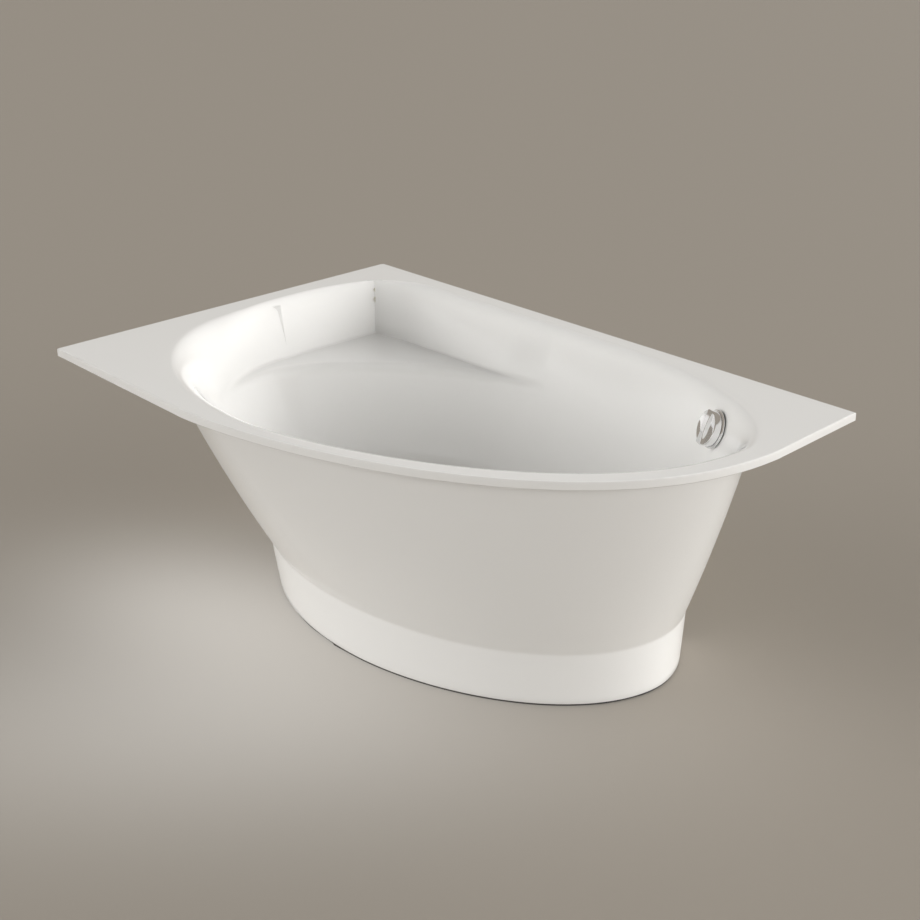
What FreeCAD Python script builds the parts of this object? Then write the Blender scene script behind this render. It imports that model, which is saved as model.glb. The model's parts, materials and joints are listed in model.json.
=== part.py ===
import FreeCAD, Part
import os
from math import cos, sin, pi, sqrt

# A corner bathtub: an acrylic shell with a raised corner shelf, a panel that
# follows the bowl down to a plinth, a steel frame on levelling feet, and a
# pop-up waste that is worked by the turning knob of the overflow.
#
# The work is laid out from the corner where the two walls meet: x runs along
# the long wall, y is 0 at that wall and negative into the room, z is 0 on the
# floor. Depths are measured down from the top of the rim. At the end each
# piece is moved so that the origin is below the middle of the tub.

V = FreeCAD.Vector
UP = V(0, 0, 1)

# ---------------------------------------------------------------- rim
LENGTH = 1600.0            # overall, along the long wall
WIDTH = 1070.0             # overall, out from the long wall
HEIGHT = 600.0             # floor to the top of the rim
LONG_WALL = 1579.0         # straight edge against the long wall
SHORT_WALL = 1044.0        # straight edge against the short wall
FRONT_PEAK_X = 542.0       # where the front edge stands furthest out
END_PEAK_Y = -300.0        # where the end edge stands furthest out
RIM_POWERS = (1.72, 2.24)  # fullness of the curved front edge
LIP = 20.0                 # height of the turned-down edge
SHEET = 5.0                # acrylic
LAMINATE = 4.0             # glass-fibre layer behind the acrylic
CURVE_POINTS = 12          # points on each quarter of an oval

# ---------------------------------------------------------------- bowl
BOWL_DEPTH = 430.0
BOWL_FLOOR_ROUND = 80.0
BOWL_RIM = dict(left=68.0, right=1550.0, front=-1020.0, back=-43.0, x_front=690.0,
                x_back_left=700.0, x_back_right=950.0, y_left=-560.0, y_right=-350.0,
                front_left=(2.05, 2.05), front_right=(1.5, 2.1),
                back_right=(1.83, 1.83), back_left=(1.5, 1.5))
BOWL_FOOT = dict(left=232.0, right=1368.0, front=-775.0, back=-165.0, x_front=800.0,
                 x_back_left=700.0, x_back_right=860.0, y_left=-470.0, y_right=-420.0,
                 front_left=(2.0, 2.0), front_right=(2.0, 2.0),
                 back_right=(2.0, 2.0), back_left=(1.8, 1.8))
SOFT_EDGE = dict(left=60.0, right=42.0, front=40.0, back=28.0)
SOFT_SHARE = 0.6           # how much of the rounding the wall's own slope leaves

# ---------------------------------------------------------------- corner shelf
SHELF_DEPTH = 147.0
CREASE_X = 105.0           # the upright crease in the corner
CREASE_Y = -122.0
SHELF_SIDE_X = 50.0        # rim edge of the recess beside the short wall
SHELF_SIDE_SOFT = 30.0
SHELF_SIDE_FOOT_X = 102.0
SHELF_WALL_Y = -45.0       # rim edge of the recess beside the long wall
SHELF_WALL_SOFT = 28.0
SHELF_WALL_FOOT_Y = -108.0
SHELF_RUN = 850.0          # how far the long wall's recess runs into the bowl
SHELF_REACH = -690.0       # how far the short wall's recess runs into the bowl
SHELF_TURN = -545.0        # where the short wall's recess turns into the bowl
SHELF_TURN_IN = 110.0      # how far in from the short wall's recess that turn ends
SHELF_TURN_STEPS = ((48.0, -75.0), (20.0, 0.0), (0.0, 120.0))    # in, and along
SHELF_SIDE_BEND = 245.0    # from the turn to where the recess bends to the crease
SHELF_WALL_BEND = 140.0    # from the crease to where the long wall's recess is straight

# ---------------------------------------------------------------- panel
PANEL = 4.0
PANEL_TOP_DEPTH = 20.0     # where the panel's rim oval is measured
WAIST_HEIGHT = 120.0
PANEL_BULGE = 0.15
PANEL_RIM = dict(left=45.0, right=1569.0, front=-1050.0, back=-8.0, x_front=640.0,
                 x_back_left=890.0, x_back_right=900.0, y_left=-560.0, y_right=-425.0,
                 front_left=(1.59, 1.59), front_right=(1.56, 1.84),
                 back_right=(1.77, 1.77), back_left=(2.0, 2.0))
PANEL_WAIST = dict(left=189.0, right=1395.0, front=-811.0, back=-32.0, x_front=790.0,
                   x_back_left=780.0, x_back_right=790.0, y_left=-421.0, y_right=-421.0,
                   front_left=(2.0, 2.1), front_right=(2.0, 2.0),
                   back_right=(2.0, 2.0), back_left=(2.0, 2.0))
PANEL_FOOT = dict(left=215.0, right=1405.0, front=-823.0, back=-45.0, x_front=825.0,
                  x_back_left=805.0, x_back_right=815.0, y_left=-430.0, y_right=-430.0,
                  front_left=(2.05, 1.75), front_right=(1.85, 2.0),
                  back_right=(1.8, 1.85), back_left=(2.0, 2.0))
PANEL_END_LEFT = -420.0    # the panel's left end, out from the long wall
PANEL_END_RIGHT = -215.0   # its right end
PANEL_SPLIT_X = 700.0      # between the two ends
PANEL_CLEAR = 1.5          # between the panel and the back of the bowl
SEAL_HEIGHT = 4.5          # floor seal under the plinth
SEAL_INSET = 3.0
SEAL_WIDTH = 12.0
CLIP_X = (300.0, 520.0, 760.0, 1000.0, 1200.0, 1360.0)
CLIP_LENGTH = 40.0
CLIP_TOP = 520.0
CLIP_HEIGHT = 40.0
PANEL_HEIGHT = 588.0       # the panel's top edge, behind the lip

# ---------------------------------------------------------------- base and frame
FLOOR_X = 855.0            # middle of the bowl's flat floor
FLOOR_Y = -467.0
BOARD = 18.0
BOARD_LENGTH = 640.0
BOARD_WIDTH = 300.0
BOARD_CORNER = 60.0
BOARD_HOLE = 50.0          # radius left free round the waste
TUBE = 30.0                # square steel tube
TUBE_WALL = 2.0
FRAME_Y = -455.0           # middle of the frame
RAIL_GAP = 130.0           # from the middle to each rail
BAR_HALF = 235.0           # half the length of the two outer bars
BAR_HEAD_X = 560.0
BAR_MIDDLE_X = 800.0
BAR_FOOT_X = 1150.0
CAP_FLANGE = 3.0
CAP_PLUG = 12.0
CAP_FIT = 0.2
FRAME_SCREW = 2.5
FRAME_SCREW_HEAD = 6.0
FRAME_SCREW_BITE = 12.0    # into the board

# ---------------------------------------------------------------- feet
FOOT_SPAN = 215.0          # from the frame's middle to each foot
ROD = 5.0
ROD_FIT = 0.08
ROD_TOP = 153.0
PAD = 25.0
PAD_HEIGHT = 12.0
PAD_HUB = 9.0
KEY_HEX = 17.0             # across flats
KEY_HEIGHT = 8.0
NUT_HEX = 17.0
NUT_HEIGHT = 8.0
POST_X = 68.0              # the corner leg
POST_Y = -68.0
POST_BOTTOM = 62.0
POST_NUT = 15.0
INSERT_FLANGE = 3.0        # of the plug in the post's foot
CORNER_PLATE = 86.0
CORNER_SHEET = 3.0

# ---------------------------------------------------------------- rim battens, brackets
BATTEN_WIDTH = 25.0
BATTEN_HEIGHT = 20.0
BATTEN_GAP = 1.0           # behind the lip
LONG_BATTEN_END = 1520.0
SHORT_BATTEN_END = -985.0
BRACKET_WIDTH = 50.0
BRACKET_HEIGHT = 60.0
BRACKET_SHEET = 3.0
BRACKET_HOLE = 4.5
BRACKET_HOLE_GAP = 28.0
BRACKET_HOLE_DROP = 35.0
LONG_BRACKETS = (300.0, 850.0, 1400.0)
SHORT_BRACKETS = (-300.0, -800.0)
BATTEN_SCREW = 2.0
BATTEN_SCREW_HEAD = 4.0
BATTEN_SCREW_BITE = 14.0

# ---------------------------------------------------------------- overflow
OVERFLOW_X = 1325.0
OVERFLOW_DEPTH = 68.0
OVERFLOW_HOLE = 27.0
ROSETTE = 45.0
ROSETTE_SEAT = 3.6         # the round wall's rise under the rosette's edge
ROSETTE_THICK = 5.0
KNOB = 41.0
KNOB_DEPTH = 18.0
KNOB_GAP = 0.4
KNOB_HOLLOW = 36.0
KNOB_FACE = 5.0
GRIP_WIDTH = 11.0
GRIP_HEIGHT = 5.0
AXLE = 5.0
AXLE_FIT = 0.06
CHAMBER = 32.0
CHAMBER_WALL = 3.0
CHAMBER_FRONT = -15.0      # the chamber's flange face, behind the wall
CHAMBER_BACK = -54.0
CHAMBER_FLANGE = 39.0
GASKET_IN = 29.0
CRANK_REACH = 10.0
CRANK_TIP = 4.0
CRANK_FRONT = -30.0
CRANK_THICK = 6.0
HOSE = 16.0
HOSE_WALL = 3.0
SPIGOT_LENGTH = 72.0
SPIGOT_WALL = 2.5
ROSETTE_SCREW = 2.5
ROSETTE_SCREW_RADIUS = 20.5
ROSETTE_SCREW_HEAD = 4.5

# ---------------------------------------------------------------- waste
WASTE_X = 1010.0
WASTE_Y = -455.0
WASTE_HOLE = 25.5
FLANGE = 35.0
FLANGE_TUBE = 25.0
FLANGE_BORE = 22.0
FLANGE_THICK = 3.0
FLANGE_LENGTH = 34.0
GASKET = 1.5
PLUG = 29.0
PLUG_HEIGHT = 5.0
PLUG_GAP = 0.5
PLUG_NECK = 19.0
SEAL_RING = 21.6
STEM = 4.0
STEM_FIT = 0.06
STEM_FOOT = 112.0          # height of the stem's lower end when the plug is shut
COLLAR = 40.0
COLLAR_THICK = 3.0
CUP = 28.0
BOX_X = 30.0               # half sizes of the lever box
BOX_Y = 28.0
BOX_WALL = 3.0
BOX_TOP = 124.0
BOX_BOTTOM = 80.0
LEVER_HALF = 3.6
LEVER_WIDTH = 8.0
LEVER_Z = 108.0
LEVER_PIN = 2.5
LEVER_PIN_FIT = 0.06
LEVER_ARM = 20.0
BRANCH_Z = 94.0
BRANCH_LENGTH = 22.0
TRAP_TUBE = 20.0
TRAP_TUBE_FOOT = 62.0
TRAP = 36.0
TRAP_WALL = 3.0
TRAP_TOP = 58.0
TRAP_BOTTOM = 8.0
TRAP_NUT = 28.0
TRAP_NUT_HEIGHT = 14.0
OUTLET_Z = 33.0
OUTLET_PIPE = 19.0
OUTLET_END = 20.0
OUTLET_END_LENGTH = 60.0
OUTLET_TO = -60.0          # the pipe's end, out from the long wall
CABLE = 3.0
CABLE_SIDE = 20.0          # beside the hose
CABLE_Z = 96.0
CABLE_BOSS = 5.0
CABLE_BEND = 22.0
CABLE_WAY = (1192.0, -180.0, 250.0)
CABLE_TURN = (1180.0, -200.0)
CABLE_RUN = 14.0           # straight below the spigot
CABLE_END_BEND = 66.0      # from the cable's end to its two last bends
CABLE_END_RUN = 27.0
STOP_LOW = 112.0
HOSE_BEND = 50.0
SPIGOT_RUN = 30.0          # straight below the spigot
HOSE_WAY = (1225.0, -192.0, 250.0)
HOSE_TURN = (1205.0, -215.0)
HOSE_END_RUN = 155.0
INLET = 6.0                # water inlets under the knob
PILLAR = 5.0
PILLAR_GAP = 0.6           # behind the rosette
CRANK_BORE = 1.6           # for the cable's end
SPOKE = 3.0                # width of the stem guide's arms
GUIDE_DROP = 14.0          # from the bowl's floor to the stem guide
GUIDE_WALL = 3.0
KNOB_HUB = 9.0
PLUG_NECK_DEPTH = 12.0
SEAL_GROOVE = 1.5
SEAL_LOW = 9.0
SEAL_THICK = 3.0
LEVER_HUB = 5.0
ARM_REACH = 14.0
DIP_FOOT = 18.0
SOCKET = 23.0
SOCKET_LENGTH = 22.0

UNDERSIDE = HEIGHT - BOWL_DEPTH - SHEET - LAMINATE    # below the laminated floor
BOARD_Z = UNDERSIDE - BOARD
BAR_Z = BOARD_Z - TUBE
DECK_Z = HEIGHT - SHEET
BATTEN_Z = DECK_Z - BATTEN_HEIGHT
BATTEN_NEAR = SHEET + BATTEN_GAP
BATTEN_FAR = BATTEN_NEAR + BATTEN_WIDTH
BATTEN_MIDDLE = BATTEN_NEAR + BATTEN_WIDTH / 2
POST_FOOT = POST_BOTTOM - INSERT_FLANGE
FEET = [(BAR_HEAD_X, FRAME_Y - FOOT_SPAN), (BAR_HEAD_X, FRAME_Y + FOOT_SPAN),
        (BAR_FOOT_X, FRAME_Y - FOOT_SPAN), (BAR_FOOT_X, FRAME_Y + FOOT_SPAN),
        (POST_X, POST_Y)]


# ================================================================ plain shapes
def block(x0, x1, y0, y1, z0, z1):
    return Part.makeBox(x1 - x0, y1 - y0, z1 - z0, V(x0, y0, z0))


def rod(radius, z0, z1, x=0.0, y=0.0):
    return Part.makeCylinder(radius, z1 - z0, V(x, y, z0))


def ring(outer, inner, z0, z1, x=0.0, y=0.0):
    return rod(outer, z0, z1, x, y).cut(rod(inner, z0, z1, x, y))


def rod_along(radius, start, direction, length):
    return Part.makeCylinder(radius, length, start, direction)


def hexagon(across_flats, z0, z1, x, y):
    reach = across_flats / 2 / cos(pi / 6)
    corners = [V(x + reach * cos(pi / 3 * i), y + reach * sin(pi / 3 * i), z0)
               for i in range(7)]
    return Part.Face(Part.makePolygon(corners)).extrude(V(0, 0, z1 - z0))


def square_tube(x0, x1, y0, y1, z0, z1, along):
    """A square tube's box with its bore, open at both ends."""
    inset = [TUBE_WALL, TUBE_WALL, TUBE_WALL]
    inset[along] = 0.0
    bore = block(x0 + inset[0], x1 - inset[0], y0 + inset[1], y1 - inset[1],
                 z0 + inset[2], z1 - inset[2])
    return block(x0, x1, y0, y1, z0, z1).cut(bore)


def bent_tube(points, bend, radius):
    """A round tube along straight runs joined by tangent arcs of one bend radius."""
    edges = []
    start = points[0]
    for i in range(1, len(points) - 1):
        back = (points[i - 1] - points[i]).normalize()
        ahead = (points[i + 1] - points[i]).normalize()
        half = back.getAngle(ahead) / 2
        reach = bend / (sin(half) / cos(half))
        arc_in = points[i] + back * reach
        arc_out = points[i] + ahead * reach
        middle = (back + ahead).normalize()
        centre = points[i] + middle * (bend / sin(half))
        edges.append(Part.makeLine(start, arc_in))
        edges.append(Part.Arc(arc_in, centre - middle * bend, arc_out).toShape())
        start = arc_out
    edges.append(Part.makeLine(start, points[-1]))
    path = Part.Wire(edges)
    profile = Part.Wire([Part.makeCircle(radius, points[0], points[1] - points[0])])
    return path.makePipeShell([profile], True, True)


def group(shapes):
    return Part.makeCompound(shapes)


# ================================================================ ovals
def between(a, b, share):
    if isinstance(a, tuple):
        return tuple(between(one, other, share) for one, other in zip(a, b))
    return a + (b - a) * share


def mixed(a, b, share):
    """Part of the way from one oval to another."""
    return {key: between(a[key], b[key], share) for key in a}


def quarter(cx, cy, reach_x, reach_y, powers, turned):
    """Points on a quarter of the oval |x|^power + |y|^power = 1, from its x end to its
    y end or, turned, the other way round."""
    points = []
    for i in range(CURVE_POINTS + 1):
        t = pi / 2 * i / CURVE_POINTS
        if turned:
            t = pi / 2 - t
        points.append((cx + reach_x * abs(cos(t)) ** (2 / powers[0]),
                       cy + reach_y * abs(sin(t)) ** (2 / powers[1])))
    return points


def oval_wire(o, grow, z):
    """A closed oval: four quarters with level and upright tangents where they end, and
    a straight run along the back."""
    right = o["right"] + grow
    left = o["left"] - grow
    front = o["front"] - grow
    back = o["back"] + grow
    quarters = [
        quarter(o["x_back_right"], o["y_right"], right - o["x_back_right"],
                back - o["y_right"], o["back_right"], False),
        quarter(o["x_back_left"], o["y_left"], left - o["x_back_left"],
                back - o["y_left"], o["back_left"], True),
        quarter(o["x_front"], o["y_left"], left - o["x_front"], front - o["y_left"],
                o["front_left"], False),
        quarter(o["x_front"], o["y_right"], right - o["x_front"], front - o["y_right"],
                o["front_right"], True)]
    tangents = [V(0, 1, 0), V(-1, 0, 0), V(0, -1, 0), V(1, 0, 0), V(0, 1, 0)]
    edges = []
    for i in range(4):
        curve = Part.BSplineCurve()
        curve.interpolate(Points=[V(x, y, z) for x, y in quarters[i]],
                          InitialTangent=tangents[i], FinalTangent=tangents[i + 1])
        edges.append(curve.toShape())
    edges.insert(1, Part.makeLine(V(o["x_back_right"], back, z),
                                  V(o["x_back_left"], back, z)))
    return Part.Wire(edges)


def stack(wires, straight=True):
    """A solid through a stack of outlines, straight from each to the next or smooth."""
    return Part.makeLoft(wires, True, straight, False)


# ================================================================ bowl and shelf
def soften(radius, depth):
    """How far a wall stands in from its rim edge because that edge is rounded."""
    reach = max(radius - depth, 0.0)
    return SOFT_SHARE * sqrt(radius * radius - reach * reach)


def bowl_oval(depth):
    """The inside of the bowl at a depth: its rim oval drawn in by the wall's slope,
    by the soft rounding at the rim and by the rounding at the floor."""
    o = mixed(BOWL_RIM, BOWL_FOOT, depth / BOWL_DEPTH)
    rise = max(0.0, BOWL_FLOOR_ROUND - BOWL_DEPTH + depth)
    tuck = BOWL_FLOOR_ROUND - sqrt(BOWL_FLOOR_ROUND ** 2 - rise ** 2)
    o["left"] += soften(SOFT_EDGE["left"], depth) + tuck
    o["right"] -= soften(SOFT_EDGE["right"], depth) + tuck
    o["front"] += soften(SOFT_EDGE["front"], depth) + tuck
    o["back"] -= soften(SOFT_EDGE["back"], depth) + tuck
    return o


def bowl_depths():
    """Stations down the bowl, close together where it is rounded."""
    edge = max(SOFT_EDGE.values())
    start = BOWL_DEPTH - BOWL_FLOOR_ROUND
    top = [edge * (1 - cos(pi / 2 * i / 5)) for i in range(6)]
    wall = [edge + (start - edge) * i / 4 for i in range(1, 4)]
    foot = [start + BOWL_FLOOR_ROUND * sin(pi / 2 * i / 5) for i in range(6)]
    return top + wall + foot


def bowl_body(grow):
    """The bowl as a solid, grown outwards and sunk by the same amount."""
    return stack([oval_wire(bowl_oval(depth), grow, HEIGHT - depth - grow)
                  for depth in bowl_depths()], False)


def curve_through(points, z):
    curve = Part.BSplineCurve()
    curve.interpolate(Points=[V(x, y, z) for x, y in points])
    return curve.toShape()


def shelf_wire(depth, grow):
    """The shelf's recess at a depth: two walls that meet in the upright corner crease,
    closed off inside the bowl. Both walls lean, but not at the crease itself."""
    z = HEIGHT - depth - grow
    share = depth / SHELF_DEPTH
    wall_lean = SHELF_WALL_Y - SHELF_WALL_FOOT_Y - soften(SHELF_WALL_SOFT, SHELF_DEPTH)
    side_lean = SHELF_SIDE_FOOT_X - SHELF_SIDE_X - soften(SHELF_SIDE_SOFT, SHELF_DEPTH)
    wall_y = SHELF_WALL_Y - soften(SHELF_WALL_SOFT, depth) - wall_lean * share + grow
    side_x = SHELF_SIDE_X + soften(SHELF_SIDE_SOFT, depth) + side_lean * share - grow
    crease_x = CREASE_X - grow
    crease_y = CREASE_Y + grow
    long_wall = []
    for i in range(7):
        step = i / 6
        long_wall.append((crease_x + SHELF_WALL_BEND * step,
                          crease_y + (wall_y - crease_y) * sin(pi / 2 * step)))
    run = SHELF_RUN - crease_x
    long_wall.append((crease_x + 0.5 * run, wall_y))
    long_wall.append((SHELF_RUN, wall_y))
    turn_x = side_x + SHELF_TURN_IN
    short_wall = [(turn_x, SHELF_REACH)]
    short_wall += [(side_x + inward, SHELF_TURN + along)
                   for inward, along in SHELF_TURN_STEPS]
    bend_y = SHELF_TURN + SHELF_SIDE_BEND
    for i in range(7):
        step = i / 6
        short_wall.append((side_x + (crease_x - side_x) * (1 - cos(pi / 2 * step)),
                           bend_y + (crease_y - bend_y) * step))
    inner = V(SHELF_RUN, SHELF_REACH, z)
    return Part.Wire([curve_through(long_wall, z),
                      Part.makeLine(V(SHELF_RUN, wall_y, z), inner),
                      Part.makeLine(inner, V(turn_x, SHELF_REACH, z)),
                      curve_through(short_wall, z)])


def shelf_body(grow):
    soft = max(SHELF_SIDE_SOFT, SHELF_WALL_SOFT)
    top = [soft * (1 - cos(pi / 2 * i / 3)) for i in range(4)]
    depths = top + [(soft + SHELF_DEPTH) / 2, SHELF_DEPTH]
    return stack([shelf_wire(depth, grow) for depth in depths])


def hollow_body(grow):
    return bowl_body(grow).fuse(shelf_body(grow))


# ================================================================ rim
def rim_wire(inset, z):
    """The outline of the rim: two straight wall edges, a nearly straight run along the
    front and a quarter oval round to the end."""
    points = []
    reach_x = LENGTH - FRONT_PEAK_X - inset
    reach_y = WIDTH + END_PEAK_Y - inset
    for i in range(2 * CURVE_POINTS + 1):
        t = pi / 2 * (1.0 - i / (2.0 * CURVE_POINTS))
        points.append(V(FRONT_PEAK_X + reach_x * abs(cos(t)) ** (2 / RIM_POWERS[0]),
                        END_PEAK_Y - reach_y * abs(sin(t)) ** (2 / RIM_POWERS[1]), z))
    front = Part.BSplineCurve()
    front.interpolate(Points=points, InitialTangent=V(1, 0, 0), FinalTangent=V(0, 1, 0))
    corner = V(inset, -inset, z)
    left = V(inset, -SHORT_WALL + inset, z)
    right = V(LONG_WALL - inset, -inset, z)
    return Part.Wire([Part.makeLine(corner, left), Part.makeLine(left, points[0]),
                      front.toShape(), Part.makeLine(points[-1], right),
                      Part.makeLine(right, corner)])


def rim_plate(inset, top, bottom):
    return Part.Face(rim_wire(inset, HEIGHT - bottom)).extrude(V(0, 0, bottom - top))


# ================================================================ overflow place
def bowl_wall(x, depth):
    """The point of the bowl's wall near the overflow at an x and a depth."""
    o = bowl_oval(depth)
    along = (x - o["x_back_right"]) / (o["right"] - o["x_back_right"])
    across = sqrt(1 - along ** o["back_right"][0]) ** (2 / o["back_right"][1])
    return V(x, o["y_right"] + (o["back"] - o["y_right"]) * across, HEIGHT - depth)


def overflow_frame():
    """Origin on the wall, +Z square out of it into the bowl, +Y up along it."""
    step = 2.0
    origin = bowl_wall(OVERFLOW_X, OVERFLOW_DEPTH)
    along = bowl_wall(OVERFLOW_X + step, OVERFLOW_DEPTH) - bowl_wall(
        OVERFLOW_X - step, OVERFLOW_DEPTH)
    upward = bowl_wall(OVERFLOW_X, OVERFLOW_DEPTH - step) - bowl_wall(
        OVERFLOW_X, OVERFLOW_DEPTH + step)
    out = along.cross(upward).normalize()
    side = UP.cross(out).normalize()
    rise = out.cross(side)
    turn = FreeCAD.Rotation(side, rise, out, "ZXY")
    return FreeCAD.Placement(origin, turn)


def at_overflow(shape):
    placed = shape.copy()
    placed.Placement = overflow_frame().multiply(placed.Placement)
    return placed


# ================================================================ tub
pieces = {}
holes = {"waste": rod(WASTE_HOLE, BOARD_Z, HEIGHT - BOWL_DEPTH + 5, WASTE_X, WASTE_Y),
         "overflow": at_overflow(rod(OVERFLOW_HOLE, CHAMBER_FRONT, 10))}
deck = rim_plate(0, 0, LIP).cut(rim_plate(SHEET, SHEET, LIP))
tub_solid = deck.fuse([bowl_body(SHEET), shelf_body(SHEET)])
shell = tub_solid.cut([bowl_body(0), shelf_body(0)])
pieces["tub_shell"] = shell.cut([holes["waste"], holes["overflow"]])
backed = hollow_body(SHEET + LAMINATE)
laminate = backed.cut(tub_solid)
pieces["reinforcement_layer"] = laminate.cut([holes["waste"], holes["overflow"]])

# ================================================================ base board
board = block(FLOOR_X - BOARD_LENGTH / 2, FLOOR_X + BOARD_LENGTH / 2,
              FLOOR_Y - BOARD_WIDTH / 2, FLOOR_Y + BOARD_WIDTH / 2, BOARD_Z, UNDERSIDE)
upright = [e for e in board.Edges if abs(e.tangentAt(e.FirstParameter).z) > 0.9]
board = board.makeFillet(BOARD_CORNER, upright)
board = board.cut(rod(BOARD_HOLE, BOARD_Z, UNDERSIDE, WASTE_X, WASTE_Y))

# ================================================================ frame
screw_places = [(x, FRAME_Y + side * RAIL_GAP / 2)
                for x in (BAR_HEAD_X, BAR_MIDDLE_X, BAR_FOOT_X) for side in (-1, 1)]
screw_shanks = [rod(FRAME_SCREW, BAR_Z - 2, UNDERSIDE - BOARD + FRAME_SCREW_BITE, x, y)
                for x, y in screw_places]
screw_heads = [rod(FRAME_SCREW_HEAD, BAR_Z - 4, BAR_Z, x, y) for x, y in screw_places]
pieces["frame_screws"] = group([shank.fuse(head)
                                for shank, head in zip(screw_shanks, screw_heads)])
pieces["base_board"] = board.cut(screw_shanks)
half = TUBE / 2
rod_holes = [rod(ROD + 0.5, BAR_Z - 1, BOARD_Z + 1, x, y) for x, y in FEET[:4]]
for name, x, reach in (("head_bar", BAR_HEAD_X, BAR_HALF),
                       ("middle_bar", BAR_MIDDLE_X, RAIL_GAP - half),
                       ("foot_bar", BAR_FOOT_X, BAR_HALF)):
    bar = square_tube(x - half, x + half, FRAME_Y - reach, FRAME_Y + reach,
                      BAR_Z, BOARD_Z, 1)
    pieces[name] = bar.cut(rod_holes + screw_shanks)
pieces["frame_rails"] = group([
    square_tube(BAR_HEAD_X + half, BAR_FOOT_X - half, FRAME_Y + side * RAIL_GAP - half,
                FRAME_Y + side * RAIL_GAP + half, BAR_Z, BOARD_Z, 0)
    for side in (-1, 1)])
caps = []
plug_half = half - TUBE_WALL - CAP_FIT
for x in (BAR_HEAD_X, BAR_FOOT_X):
    for side in (-1, 1):
        end = FRAME_Y + side * BAR_HALF
        face = sorted([end, end + side * CAP_FLANGE])
        plug = sorted([end, end - side * CAP_PLUG])
        middle = (BAR_Z + BOARD_Z) / 2
        caps.append(block(x - half, x + half, face[0], face[1], BAR_Z, BOARD_Z).fuse(
            block(x - plug_half, x + plug_half, plug[0], plug[1],
                  middle - plug_half, middle + plug_half)))
pieces["bar_caps"] = group(caps)

# ================================================================ corner leg
plate_low = BATTEN_Z - CORNER_SHEET
pieces["corner_plate"] = block(BATTEN_NEAR, BATTEN_NEAR + CORNER_PLATE,
                               -BATTEN_NEAR - CORNER_PLATE, -BATTEN_NEAR,
                               plate_low, BATTEN_Z)
pieces["corner_post"] = square_tube(POST_X - half, POST_X + half, POST_Y - half,
                                    POST_Y + half, POST_BOTTOM, plate_low, 2)
inside = half - TUBE_WALL
insert = block(POST_X - inside, POST_X + inside, POST_Y - inside, POST_Y + inside,
               POST_BOTTOM, POST_BOTTOM + POST_NUT)
insert = insert.fuse(block(POST_X - half, POST_X + half, POST_Y - half, POST_Y + half,
                           POST_FOOT, POST_BOTTOM))
pieces["post_insert"] = insert.cut(rod(ROD + ROD_FIT, POST_FOOT - 1,
                                       POST_BOTTOM + POST_NUT + 1, POST_X, POST_Y))

# ================================================================ feet
weld_nuts = []
lock_nuts = []
for x, y in FEET:
    if (x, y) == (POST_X, POST_Y):
        top = POST_FOOT
    else:
        top = BAR_Z - NUT_HEIGHT
        weld_nuts.append(hexagon(NUT_HEX, top, BAR_Z, x, y).cut(
            rod(ROD + ROD_FIT, top - 1, BAR_Z + 1, x, y)))
    lock_nuts.append(hexagon(NUT_HEX, top - NUT_HEIGHT, top, x, y).cut(
        rod(ROD + ROD_FIT, top - NUT_HEIGHT - 1, top + 1, x, y)))
pieces["weld_nuts"] = group(weld_nuts)
pieces["lock_nuts"] = group(lock_nuts)
for i, (x, y) in enumerate(FEET):
    pad = rod(PAD, 0, PAD_HEIGHT / 2, x, y).fuse(
        rod(PAD_HUB, PAD_HEIGHT / 2, PAD_HEIGHT, x, y))
    socket = PAD_HEIGHT / 2 - 1
    pieces["foot_pad_%d" % (i + 1)] = pad.cut(rod(ROD, socket, PAD_HEIGHT + 1, x, y))
    pieces["foot_rod_%d" % (i + 1)] = rod(ROD, socket, ROD_TOP, x, y).fuse(
        hexagon(KEY_HEX, PAD_HEIGHT + 2, PAD_HEIGHT + 2 + KEY_HEIGHT, x, y))

# ================================================================ battens, brackets
screws = []
brackets = []
bite_top = BATTEN_Z + BATTEN_SCREW_BITE
flange_low = BATTEN_Z - BRACKET_SHEET


def wall_bracket(along, long_wall):
    """An angle bracket on a wall, its flange under the batten, and its two screws."""
    low = BATTEN_Z - BRACKET_HEIGHT
    start = along - BRACKET_WIDTH / 2
    end = along + BRACKET_WIDTH / 2
    if long_wall:
        plate = block(start, end, -BRACKET_SHEET, 0, low, BATTEN_Z)
        flange = block(start, end, -BATTEN_FAR, 0, flange_low, BATTEN_Z)
    else:
        plate = block(0, BRACKET_SHEET, start, end, low, BATTEN_Z)
        flange = block(0, BATTEN_FAR, start, end, flange_low, BATTEN_Z)
    bracket = plate.fuse(flange).removeSplitter()
    for side in (-1, 1):
        place = along + side * BRACKET_HOLE_GAP / 2
        drop = BATTEN_Z - BRACKET_HOLE_DROP
        if long_wall:
            bracket = bracket.cut(rod_along(BRACKET_HOLE, V(place, -10, drop),
                                            V(0, 1, 0), 20))
            screws.append((place, -BATTEN_MIDDLE))
        else:
            bracket = bracket.cut(rod_along(BRACKET_HOLE, V(-10, place, drop),
                                            V(1, 0, 0), 20))
            screws.append((BATTEN_MIDDLE, place))
    return bracket


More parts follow.
